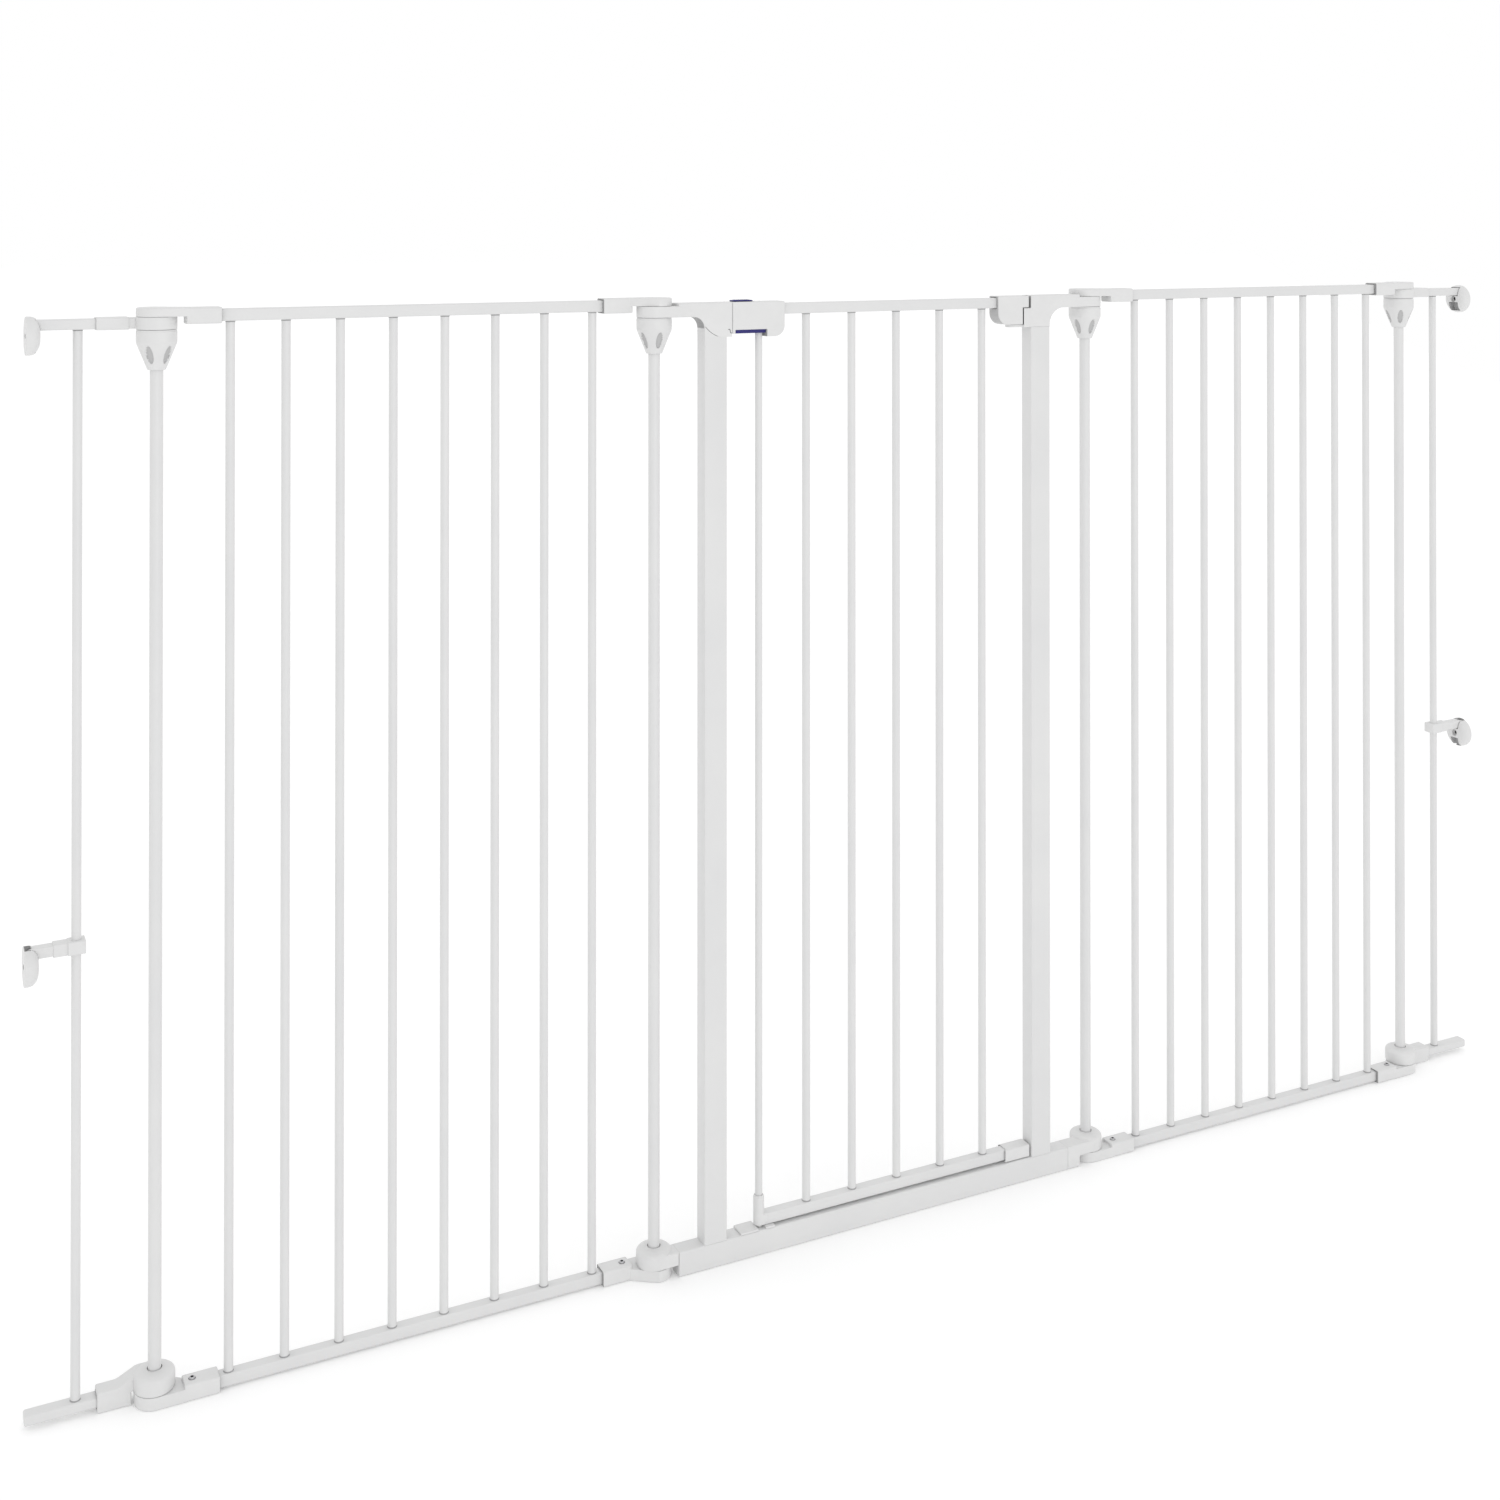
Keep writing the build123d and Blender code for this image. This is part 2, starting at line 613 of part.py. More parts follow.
with BuildPart() as hinge_housing:
    with BuildSketch(Plane(origin=(0, -half_frame, 0), x_dir=(1, 0, 0), z_dir=(0, -1, 0))):
        with BuildLine():
            Polyline((hinge_shoulder_x, ring_bottom), (hinge_shoulder_x, housing_top),
                     (upper_x, housing_top), (upper_x, hinge_step_level), (step_x, hinge_step_level),
                     (step_x, housing_bottom), (hinge_post_right, housing_bottom),
                     (hinge_post_right, ring_bottom - hinge_gusset_radius))
            gusset(hinge_post_right, 1, hinge_gusset_radius)
            Line((hinge_post_right + hinge_gusset_radius, ring_bottom), (hinge_shoulder_x, ring_bottom))
        make_face()
    extrude(amount=-frame_depth)
    disc(door_hinge_x, 0, hypot(half_frame, half_frame) + axial_gap,
         (housing_bottom, hinge_step_level), Mode.SUBTRACT)
    disc(door_hinge_x, 0, hypot(half_frame + hinge_step_overlap, half_frame) + axial_gap,
         (hinge_step_level, housing_top), Mode.SUBTRACT)
    disc(door_hinge_x, 0, lip_r, (lip_z - hinge_lip, lip_z))
    block((door_hinge_x, frame_post_x[1] - frame_post_width / 2), (-lip_r, lip_r),
          (lip_z - hinge_lip, lip_z))
    disc(door_hinge_x, 0, pin_r, (lip_z - hinge_lip, lip_z), Mode.SUBTRACT)
    post_plug(frame_post_x[1])
    housing_ring(2, -1)
finish(hinge_housing.part, "hinge_housing")

top_pin_z = (lip_z - hinge_lip, lip_z + top_pin_reach)
bottom_pin_z = (frame_rail_height - 2 * frame_wall, frame_rail_height + bottom_pin_reach)
with BuildPart() as hinge_pins:
    disc(door_hinge_x, 0, pin_r, top_pin_z)
    disc(door_hinge_x, 0, pin_r, bottom_pin_z)
finish(hinge_pins.part, "hinge_pins")

catch_plate_top = frame_rail_height + catch_plate_height
groove_half = lock_rod_diameter / 2 + face_gap
with BuildPart() as catch_plate:        # two cheeks, with the rod's groove between them
    block((lock_rod_x - catch_plate_left, lock_rod_x - groove_half), (-half_frame, half_frame),
          (frame_rail_height, catch_plate_top))
    block((lock_rod_x + groove_half, lock_rod_x + catch_plate_right), (-half_frame, half_frame),
          (frame_rail_height, catch_plate_top))
finish(catch_plate.part, "catch_plate")


# ---------------------------------------------------------------- door
elbow_r = elbow_diameter / 2
door_rail_half = rail_size / 2
elbow_end = lock_rod_x + elbow_r + elbow_shoulder
elbow_top = door_rail_bottom + elbow_height
sleeve_z = frame_rail_height + face_gap
hinge_sleeve_left = door_hinge_x - hinge_sleeve_reach
hinge_sleeve_right = frame_post_x[1] - frame_post_width / 2 - post_gap
door_bar_span = door_hinge_x - last_door_bar - lock_rod_x - first_door_bar
door_bar_pitch = door_bar_span / (door_bar_count - 1)
door_bar_x = [lock_rod_x + first_door_bar + i * door_bar_pitch for i in range(door_bar_count)]

level_tube((latch_right - door_socket, hinge_housing_left + door_socket), 0, door_rail_top,
           rail_size, rail_size, rail_wall, "door_top_rail")
level_tube((elbow_end, hinge_sleeve_left + door_socket - pin_r), 0, door_rail_bottom,
           rail_size, rail_size, rail_wall, "door_bottom_rail")
upright_tubes(door_bar_x, 0, (door_rail_bottom + rail_size, door_rail_top), bar_diameter, bar_wall,
              "door_bars")

with BuildPart() as door_elbow:
    disc(lock_rod_x, 0, elbow_r, (door_rail_bottom, elbow_top))
    block((lock_rod_x, elbow_end), (-door_rail_half, door_rail_half),
          (door_rail_bottom, door_rail_bottom + rail_size))
    plug_half = door_rail_half - rail_wall - fit
    plug_low = door_rail_bottom + rail_wall + fit
    block((elbow_end, elbow_end + plug_length), (-plug_half, plug_half),
          (plug_low, plug_low + 2 * plug_half))
    disc(lock_rod_x, 0, lock_rod_diameter / 2 + running, (door_rail_bottom, elbow_top), Mode.SUBTRACT)
finish(door_elbow.part, "door_elbow")

sleeve_half = hinge_sleeve_depth / 2
with BuildPart() as door_hinge_sleeve:
    block((hinge_sleeve_left, hinge_sleeve_right), (-sleeve_half, sleeve_half),
          (sleeve_z, sleeve_z + hinge_sleeve_height))
    fillet(door_hinge_sleeve.edges().filter_by(Axis.X), sleeve_rounding)
    half = door_rail_half + fit
    block((hinge_sleeve_left, hinge_sleeve_left + door_socket - pin_r), (-half, half),
          (door_rail_bottom - fit, door_rail_bottom + rail_size + fit), Mode.SUBTRACT)
    disc(door_hinge_x, 0, pin_r + running, (sleeve_z, bottom_pin_z[1] + axial_gap), Mode.SUBTRACT)
finish(door_hinge_sleeve.part, "door_hinge_sleeve")

arc_in = hinge_housing_rounding * (1 - 0.5 ** 0.5)
with BuildPart() as door_hinge_housing:
    with BuildSketch(Plane(origin=(0, -half_frame, 0), x_dir=(1, 0, 0), z_dir=(0, -1, 0))):
        with BuildLine():
            Polyline((hinge_housing_left, hinge_housing_bottom + hinge_housing_rounding),
                     (hinge_housing_left, housing_top - axial_gap),
                     (hinge_upper_face, housing_top - axial_gap),
                     (hinge_upper_face, hinge_step_level + axial_gap),
                     (hinge_face, hinge_step_level + axial_gap), (hinge_face, hinge_housing_bottom),
                     (hinge_housing_left + hinge_housing_rounding, hinge_housing_bottom))
            ThreePointArc((hinge_housing_left + hinge_housing_rounding, hinge_housing_bottom),
                          (hinge_housing_left + arc_in, hinge_housing_bottom + arc_in),
                          (hinge_housing_left, hinge_housing_bottom + hinge_housing_rounding))
        make_face()
    extrude(amount=-frame_depth)
    half = door_rail_half + fit
    block((hinge_housing_left, hinge_housing_left + door_socket), (-half, half),
          (door_rail_top - fit, door_rail_top + rail_size + fit), Mode.SUBTRACT)
    disc(door_hinge_x, 0, pin_r + running, (hinge_housing_bottom, top_pin_z[1] + axial_gap),
         Mode.SUBTRACT)
finish(door_hinge_housing.part, "door_hinge_housing")


# ---------------------------------------------------------------- latch
trigger_z = latch_skirt - trigger_sink
trigger_roof = trigger_z + trigger_height + rod_lift + trigger_room
trigger_left = latch_left + 2 * latch_wall
trigger_right = latch_step - fit
cavity_half = half_frame - latch_wall
stem_left = thumb_left + thumb_length / 2
stem_half = stem_depth / 2
foot_half = foot_depth / 2
slider_floor = trigger_roof + latch_wall + axial_gap
slider_roof = housing_top - latch_wall * 1.5
foot_left = stem_left - foot_lip
foot_right = stem_left + stem_width + foot_lip
slider_cavity_right = foot_right + slide_travel + spring_room
arc_in = latch_rounding * (1 - 0.5 ** 0.5)

with BuildPart() as latch_housing:
    with BuildSketch(Plane(origin=(0, -half_frame, 0), x_dir=(1, 0, 0), z_dir=(0, -1, 0))):
        with BuildLine():
            Polyline((latch_right, latch_bottom + latch_rounding), (latch_right, housing_top),
                     (latch_left, housing_top), (latch_left, trigger_z),
                     (trigger_left - fit, trigger_z), (trigger_left - fit, latch_skirt),
                     (latch_step, latch_skirt), (latch_step, latch_bottom),
                     (latch_right - latch_rounding, latch_bottom))
            ThreePointArc((latch_right - latch_rounding, latch_bottom),
                          (latch_right - arc_in, latch_bottom + arc_in),
                          (latch_right, latch_bottom + latch_rounding))
        make_face()
    extrude(amount=-frame_depth)
    block((trigger_left - fit, latch_step), (-cavity_half, cavity_half),
          (latch_skirt, trigger_roof), Mode.SUBTRACT)
    block((foot_left - axial_gap, slider_cavity_right), (-foot_half - fit, foot_half + fit),
          (slider_floor, slider_roof), Mode.SUBTRACT)
    block((stem_left - axial_gap, stem_left + stem_width + slide_travel + axial_gap),
          (-stem_half - fit, stem_half + fit), (slider_roof, housing_top), Mode.SUBTRACT)
    half = door_rail_half + fit
    block((latch_right - door_socket, latch_right), (-half, half),
          (door_rail_top - fit, door_rail_top + rail_size + fit), Mode.SUBTRACT)
finish(latch_housing.part, "latch_housing")

with BuildPart() as thumb_slider:
    block((thumb_left, thumb_left + thumb_length), (-thumb_width / 2, thumb_width / 2),
          (thumb_z, thumb_z + thumb_height))
    block((stem_left, stem_left + stem_width), (-stem_half, stem_half),
          (slider_floor + axial_gap, thumb_z))
    block((foot_left, foot_right), (-foot_half, foot_half),
          (slider_floor + axial_gap, slider_roof - axial_gap))
finish(thumb_slider.part, "thumb_slider")

with BuildPart() as lift_trigger:
    block((trigger_left, trigger_right), (-cavity_half + fit, cavity_half - fit),
          (trigger_z, trigger_z + trigger_height))
    disc(lock_rod_x, 0, lock_rod_diameter / 2, (trigger_z, trigger_z + trigger_height / 2),
         Mode.SUBTRACT)
finish(lift_trigger.part, "lift_trigger")

rod_tip = frame_rail_height + axial_gap
with BuildPart() as lock_rod:
    disc(lock_rod_x, 0, lock_rod_diameter / 2, (rod_tip, trigger_z + trigger_height / 2))
    chamfer(lock_rod.edges().sort_by(Axis.Z)[0], rod_chamfer)
finish(lock_rod.part, "lock_rod")


# ---------------------------------------------------------------- springs in the latch
rod_spring_x = (trigger_left + lock_rod_x) / 2
rod_spring_z = (trigger_z + trigger_height + spring_wire, trigger_roof - spring_wire)
slider_z = (slider_floor + slider_roof) / 2
slider_spring_x = (foot_right + spring_wire, slider_cavity_right - spring_wire)


def coil(start, direction, length, coil_radius):
    """A round wire carried along a helix."""
    with BuildPart() as spring:
        with BuildLine() as path:
            Helix(length / spring_turns, length, coil_radius, center=start, direction=direction)
        with BuildSketch(Plane(origin=path.line @ 0, z_dir=path.line % 0)):
            Circle(spring_wire / 2)
        sweep(path=path.line, is_frenet=True)
    return spring.part


rod_spring = coil((rod_spring_x, 0, rod_spring_z[0]), (0, 0, 1),
                  rod_spring_z[1] - rod_spring_z[0], rod_spring_diameter / 2)
slider_spring = coil((slider_spring_x[0], 0, slider_z), (1, 0, 0),
                     slider_spring_x[1] - slider_spring_x[0], slider_spring_diameter / 2)
with BuildPart() as latch_springs:
    add(rod_spring)
    add(slider_spring)
finish(latch_springs.part, "latch_springs")
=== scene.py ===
import json
import math

import bmesh
import bpy
import numpy as np
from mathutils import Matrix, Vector


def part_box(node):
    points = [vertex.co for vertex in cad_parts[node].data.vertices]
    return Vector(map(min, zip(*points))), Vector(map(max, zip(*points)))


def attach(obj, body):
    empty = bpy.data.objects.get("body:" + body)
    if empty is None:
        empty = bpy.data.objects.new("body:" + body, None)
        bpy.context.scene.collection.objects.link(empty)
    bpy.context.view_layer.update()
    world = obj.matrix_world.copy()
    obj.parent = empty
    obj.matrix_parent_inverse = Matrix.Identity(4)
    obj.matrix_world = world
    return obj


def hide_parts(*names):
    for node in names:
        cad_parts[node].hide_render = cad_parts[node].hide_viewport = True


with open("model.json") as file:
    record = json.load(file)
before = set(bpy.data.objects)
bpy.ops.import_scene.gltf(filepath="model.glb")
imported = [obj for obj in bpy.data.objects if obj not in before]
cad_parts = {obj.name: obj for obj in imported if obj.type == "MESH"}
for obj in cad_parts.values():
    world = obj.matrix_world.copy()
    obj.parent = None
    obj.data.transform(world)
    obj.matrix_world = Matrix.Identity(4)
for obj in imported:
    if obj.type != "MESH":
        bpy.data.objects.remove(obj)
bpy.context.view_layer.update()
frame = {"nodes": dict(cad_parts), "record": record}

# ---------------------------------------------------------------- sizes shared by the mouldings (m)
MM = 0.001
bodies = frame["record"]["behaviour"]["bodies"]
body_of_node = {node: body for body, nodes in bodies.items() for node in nodes}
soft_edge = 1.1 * MM            # rounding of the plastic mouldings' edges
steel_edge = 1.3 * MM           # corner radius of the square tubes
knuckle_height = 12.2 * MM
running_gap = 0.3 * MM
sleeve_start = 25 * MM          # rail sleeves, from the hinge axis
arc_steps = 7
pole_r = 0.02 * MM              # small flat where a turned section meets its axis


def span(node):
    """Lowest and highest corner of a node, as arrays."""
    low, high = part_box(node)
    return np.array(low), np.array(high)


def middle(node):
    """Middle of a node's box."""
    low, high = span(node)
    return (low + high) / 2


posts = [middle(f"hinge_post_{i}") for i in range(1, 5)]
collar_low, collar_high = span("lock_collar_1")
knuckle_r = (collar_high[0] - collar_low[0]) / 2
post_r = (span("hinge_post_1")[1][0] - span("hinge_post_1")[0][0]) / 2
bore_r = post_r + 0.06 * MM
ring_low, ring_high = (corner[2] for corner in span("left_end_top_arm"))


# ---------------------------------------------------------------- forms
def outline(corners, radii, steps=arc_steps):
    """Closed outline with a radius at each corner, kept anticlockwise for drawn()."""
    corners = np.asarray(corners, float)
    radii = np.broadcast_to(radii, len(corners))
    following = np.roll(corners, -1, 0)
    if (corners[:, 0] * following[:, 1] - following[:, 0] * corners[:, 1]).sum() < 0:
        corners, radii = corners[::-1], radii[::-1]
    return corners, radii, steps


def drawn(shape, inset=0.0):
    """Points of an outline whose sides all lie inset further in.

    With unit vectors a and b from a corner to its neighbours and an angle p between them, the corner
    moves inset / sin(p / 2) along a + b where it is convex and against it where it is hollow. Its
    radius r shrinks or grows by the inset, the arc's centre lies r / sin(p / 2) from the corner along
    a + b, and the arc is the turn about it from the foot r / tan(p / 2) along a to the foot along b.
    """
    corners, radii, steps = shape
    back = np.roll(corners, 1, 0) - corners
    back = back / np.linalg.norm(back, axis=1, keepdims=True)
    ahead = np.roll(corners, -1, 0) - corners
    ahead = ahead / np.linalg.norm(ahead, axis=1, keepdims=True)
    half = 0.5 * np.arccos(np.clip((back * ahead).sum(1), -1, 1))[:, None]
    bend = np.sign(ahead[:, 1] * back[:, 0] - ahead[:, 0] * back[:, 1])[:, None] * -1
    inward = back + ahead
    inward = inward / np.linalg.norm(inward, axis=1, keepdims=True)
    moved = corners + inward * bend * inset / np.sin(half)
    radius = np.maximum(radii[:, None] - bend * inset, 0.01 * MM)
    centre = moved + inward * radius / np.sin(half)
    first = moved + back * radius / np.tan(half) - centre
    last = moved + ahead * radius / np.tan(half) - centre
    turn = (math.pi - 2 * half)[..., None]
    share = np.linspace(0, 1, steps)[None, :, None]
    arc = (np.sin((1 - share) * turn) * first[:, None] + np.sin(share * turn) * last[:, None])
    return (centre[:, None] + arc / np.sin(turn)).reshape(-1, 2)


def rectangle(low, high, radius):
    """Rounded rectangle between two corners."""
    (a, b), (c, d) = low, high
    return outline([(a, b), (c, b), (c, d), (a, d)], radius)


def quads(rows, columns, wrap_rows=False):
    """Faces of a grid numbered row by row, closed across the columns."""
    row, column = np.meshgrid(np.arange(rows - (not wrap_rows)), np.arange(columns), indexing="ij")
    row_next, column_next = (row + 1) % rows, (column + 1) % columns
    cells = (row * columns + column, row * columns + column_next,
             row_next * columns + column_next, row_next * columns + column)
    return np.stack(cells, -1).reshape(-1, 4)


def placed(a, b, c, plane):
    """Puts outline coordinates a, b and the height c over it on the three axes."""
    axes = {"xy": (a, b, c), "xz": (a, c, b), "yz": (c, a, b)}[plane]
    return np.stack(axes, -1).reshape(-1, 3)


def slab(shape, low, high, edge=soft_edge, plane="xy", steps=4, low_edge=None):
    """A plate of the given outline with quarter-round edges.

    At turn t the edge lies e (1 - sin t) inside the outline and e (1 - cos t) above the lower face,
    and the upper edge mirrors it with its own e.
    """
    low_edge = edge if low_edge is None else low_edge
    turn = np.linspace(0, math.pi / 2, steps + 1)
    inset, rise = 1 - np.sin(turn), 1 - np.cos(turn)
    rims = [drawn(shape, reach) for reach in np.concatenate([low_edge * inset, (edge * inset)[::-1]])]
    a, b = np.moveaxis(np.array(rims), 2, 0)
    level = np.concatenate([low + low_edge * rise, (high - edge * rise)[::-1]])
    rows, columns = a.shape
    c = np.broadcast_to(level[:, None], a.shape)
    caps = [np.arange(columns)[::-1], (rows - 1) * columns + np.arange(columns)]
    return placed(a, b, c, plane), quads(rows, columns), caps


def turned(section, centre, plane="xy", count=72, closed=True):
    """A section of radius and height turned about an axis: (r cos u, r sin u, h) about the centre.

    An open section starts and ends on the rim of a flat face, which is filled.
    """
    angle = np.linspace(0, 2 * math.pi, count, endpoint=False)[None]
    r, h = np.asarray(section, float).T[..., None]
    rows = len(r)
    vertices = placed(r * np.cos(angle), r * np.sin(angle), h + 0 * angle, plane) + centre
    caps = [] if closed else [np.arange(count), (rows - 1) * count + np.arange(count)]
    return vertices, quads(rows, count, closed), caps


def piped(path, radius, count=10):
    """A round section carried along a path: path + r (n cos u + b sin u), closed at both ends."""
    path = np.asarray(path, float)
    along = np.gradient(path, axis=0)
    along = along / np.linalg.norm(along, axis=1, keepdims=True)
    side = np.cross(along, np.cross(path[1] - path[0], path[-1] - path[0]) + (1e-9, 2e-9, 3e-9))
    side = side / np.linalg.norm(side, axis=1, keepdims=True)
    other = np.cross(along, side)
    angle = np.linspace(0, 2 * math.pi, count, endpoint=False)[None, :, None]
    vertices = path[:, None] + radius * (side[:, None] * np.cos(angle) + other[:, None] * np.sin(angle))
    rows = len(path)
    caps = [np.arange(count), (rows - 1) * count + np.arange(count)]
    return vertices.reshape(-1, 3), quads(rows, count), caps


def skin(name, shells):
    """A mesh object made of closed shells, with its faces turned outwards."""
    faces, start = [], 0
    for vertices, grid, caps in shells:
        faces += (grid + start).tolist() + [(cap + start).tolist() for cap in caps]
        start += len(vertices)
    mesh = bpy.data.meshes.new(name)
    mesh.from_pydata(np.concatenate([shell[0] for shell in shells]).tolist(), [], faces)
    tidy_mesh(mesh)
    piece = bpy.data.objects.new(name, mesh)
    bpy.context.scene.collection.objects.link(piece)
    return piece


def tidy_mesh(mesh):
    """Merges doubled points, drops faces without area and turns the rest outwards."""
    form = bmesh.new()
    form.from_mesh(mesh)
    bmesh.ops.remove_doubles(form, verts=form.verts, dist=0.002 * MM)
    bmesh.ops.dissolve_degenerate(form, edges=form.edges, dist=0.002 * MM)
    bmesh.ops.recalc_face_normals(form, faces=form.faces)
    form.to_mesh(mesh)
    form.free()


def combine(piece, tool, operation):
    """Joins a tool to a piece, or cuts it out of it, and removes the tool."""
    step = piece.modifiers.new(operation, "BOOLEAN")
    step.operation = operation
    step.solver = "EXACT"
    step.material_mode = "TRANSFER"
    step.object = tool
    whole = piece.evaluated_get(bpy.context.evaluated_depsgraph_get())
    mesh = bpy.data.meshes.new_from_object(whole)
    piece.modifiers.clear()
    piece.data = mesh
    bpy.data.objects.remove(tool)
    tidy_mesh(piece.data)


def moulding(name, finish, shells, cuts=(), inside=None):
    """One closed skin: the shells joined into one, less the cuts.

    inside is the finish of the cut faces, mostly a dark one that paints the shade inside a pocket, bore or
    groove.
    """
    piece = skin(name, shells[:1])
    piece.data.materials.append(finish)
    for shell in shells[1:]:
        tool = skin("tool", [shell])
        tool.data.materials.append(finish)
        combine(piece, tool, "UNION")
    for shell in cuts:
        tool = skin("tool", [shell])
        tool.data.materials.append(inside or finish)
        combine(piece, tool, "DIFFERENCE")
    return piece


def faces_where(piece, chosen, finish):
    """Gives a finish to the faces whose middle and normal, each as x, y, z arrays, pass a test."""
    faces = piece.data.polygons
    middles, normals = np.empty(3 * len(faces)), np.empty(3 * len(faces))
    index = np.empty(len(faces), np.int32)
    faces.foreach_get("center", middles)
    faces.foreach_get("normal", normals)
    faces.foreach_get("material_index", index)
    piece.data.materials.append(finish)
    index[chosen(middles.reshape(-1, 3).T, normals.reshape(-1, 3).T)] = len(piece.data.materials) - 1
    faces.foreach_set("material_index", index)


def dressed(piece, *nodes, slot="white_plastic", crease=38):
    """Shades a piece smoothly, and has it stand for its nodes on their body."""
    piece.data.polygons.foreach_set("use_smooth", [True] * len(piece.data.polygons))
    piece.data.set_sharp_from_angle(angle=math.radians(crease))
    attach(piece, body_of_node[nodes[0]])
    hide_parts(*nodes)
    return piece


# ---------------------------------------------------------------- finishes
def shader(name, **sockets):
    """A node material with its shader's own sockets set, and its object coordinates."""
    finish = bpy.data.materials.new(name)
    finish.use_nodes = True
    tree = finish.node_tree
    surface = tree.nodes["Principled BSDF"]
    for socket, value in sockets.items():
        surface.inputs[socket.replace("_", " ")].default_value = value
    return finish, tree, surface, tree.nodes.new("ShaderNodeTexCoord").outputs["Object"]


def texture(tree, kind, place, scale, **sockets):
    """A noise or cell pattern read at a place."""
    pattern = tree.nodes.new(kind)
    pattern.inputs["Scale"].default_value = scale
    for socket, value in sockets.items():
        pattern.inputs[socket].default_value = value
    tree.links.new(place, pattern.inputs["Vector"])
    return pattern


def ranged(tree, value, low, high):
    """Carries a pattern's 0.3 to 0.7 over to a range."""
    change = tree.nodes.new("ShaderNodeMapRange")
    for socket, setting in zip(("From Min", "From Max", "To Min", "To Max"), (0.3, 0.7, low, high)):
        change.inputs[socket].default_value = setting
    tree.links.new(value, change.inputs["Value"])
    return change.outputs["Result"]


def tinted(tree, value, first, second, target):
    """Mixes two close tints by a pattern and feeds the colour to a socket."""
    mix = tree.nodes.new("ShaderNodeMix")
    mix.data_type = "RGBA"
    tree.links.new(ranged(tree, value, 0, 1), mix.inputs["Factor"])
    mix.inputs["A"].default_value = (*first, 1)
    mix.inputs["B"].default_value = (*second, 1)
    tree.links.new(mix.outputs["Result"], target)


def relief(tree, value, surface, strength, distance):
    """Raises a pattern off the surface."""
    bump = tree.nodes.new("ShaderNodeBump")
    bump.inputs["Strength"].default_value = strength
    bump.inputs["Distance"].default_value = distance
    tree.links.new(value, bump.inputs["Height"])
    tree.links.new(bump.outputs["Normal"], surface.inputs["Normal"])


def powder_coat(name, first, second):
    """Powder coat: slow drifts of tint, and the orange peel of the flowed powder."""
    finish, tree, surface, place = shader(name, IOR=1.45, Coat_Weight=0.08)
    drift = texture(tree, "ShaderNodeTexNoise", place, 11, Detail=3, Roughness=0.6)
    peel = texture(tree, "ShaderNodeTexNoise", place, 620, Detail=2, Roughness=0.45)
    tinted(tree, drift.outputs["Fac"], first, second, surface.inputs["Base Color"])
    tree.links.new(ranged(tree, peel.outputs["Fac"], 0.33, 0.43), surface.inputs["Roughness"])
    relief(tree, peel.outputs["Fac"], surface, 0.16, 0.12 * MM)
    return finish


def moulded_plastic(name, first, second, roughness, grain=0.22):
    """Moulded plastic: a spark-eroded grain in relief, cloudy roughness and two close tints."""
    finish, tree, surface, place = shader(name, IOR=1.5)
    flow = texture(tree, "ShaderNodeTexNoise", place, 34, Detail=4, Roughness=0.55, Distortion=0.6)
    cells = texture(tree, "ShaderNodeTexVoronoi", place, 1900)
    fine = texture(tree, "ShaderNodeTexNoise", place, 2600, Detail=3, Roughness=0.7)
    grit = tree.nodes.new("ShaderNodeMath")
    grit.operation = "ADD"
    tree.links.new(cells.outputs["Distance"], grit.inputs[0])
    tree.links.new(fine.outputs["Fac"], grit.inputs[1])
    tinted(tree, flow.outputs["Fac"], first, second, surface.inputs["Base Color"])
    tree.links.new(ranged(tree, flow.outputs["Fac"], roughness - 0.05, roughness + 0.05),
                   surface.inputs["Roughness"])
    relief(tree, grit.outputs["Value"], surface, grain, 0.05 * MM)
    return finish


def turned_steel():
    """Bare steel with fine lines round the axis it was turned about."""
    finish, tree, surface, place = shader("bare turned steel", Metallic=1.0)
    squeeze = tree.nodes.new("ShaderNodeMapping")
    squeeze.inputs["Scale"].default_value = (1, 1, 14)
    tree.links.new(place, squeeze.inputs["Vector"])
    lines = texture(tree, "ShaderNodeTexNoise", squeeze.outputs["Vector"], 420, Detail=3)
    tinted(tree, lines.outputs["Fac"], (0.42, 0.42, 0.43), (0.56, 0.56, 0.57),
           surface.inputs["Base Color"])
    tree.links.new(ranged(tree, lines.outputs["Fac"], 0.26, 0.42), surface.inputs["Roughness"])
    relief(tree, lines.outputs["Fac"], surface, 0.1, 0.05 * MM)
    return finish


steel_white = powder_coat("white powder coat", (0.665, 0.666, 0.668), (0.692, 0.692, 0.69))
# darker powder coat: painted shade where a bar meets its rail
steel_painted_shade = powder_coat("powder coat with painted shade where a bar meets its rail", (0.3, 0.3, 0.305), (0.36, 0.36, 0.36))
plastic_white = moulded_plastic("white moulded plastic", (0.672, 0.672, 0.672), (0.698, 0.698, 0.696), 0.44)
plastic_navy = moulded_plastic("navy moulded plastic", (0.007, 0.005, 0.115), (0.011, 0.008, 0.15), 0.5)
# painted soft shade: a darker copy of the white plastic for grips, socket walls and faces turned from the
# lamp
plastic_painted_soft_shade = moulded_plastic("white moulding with painted soft shade", (0.44, 0.44, 0.442), (0.48, 0.48, 0.48), 0.5)
# painted shade: a darker copy of the white plastic for sleeve ends, steps and faces turned from the lamp
plastic_painted_side_shade = moulded_plastic("painted shade on a side of a moulding", (0.29, 0.29, 0.292), (0.33, 0.33, 0.33), 0.5)
# painted deep shade: a dark copy of the white plastic for the insides of pockets, bores and grooves
plastic_shade = moulded_plastic("shaded hollow of a moulding", (0.13, 0.13, 0.132), (0.2, 0.2, 0.2), 0.6)
# painted shade for the insides of holes and screw sockets
hole_shade = moulded_plastic("painted shade in a hole of a moulding", (0.016, 0.016, 0.017), (0.04, 0.04, 0.041), 0.7)
steel_bare = turned_steel()


# ---------------------------------------------------------------- steel tubes
bar_flare = 0.6 * MM            # weld round the end of a bar
bar_flare_reach = 0.7 * MM
painted_shade_height = 1.1 * MM          # height of the painted shade ring at each end of a bar
seat = 0.15 * MM                # a welded or pushed end reaches this far into its seat


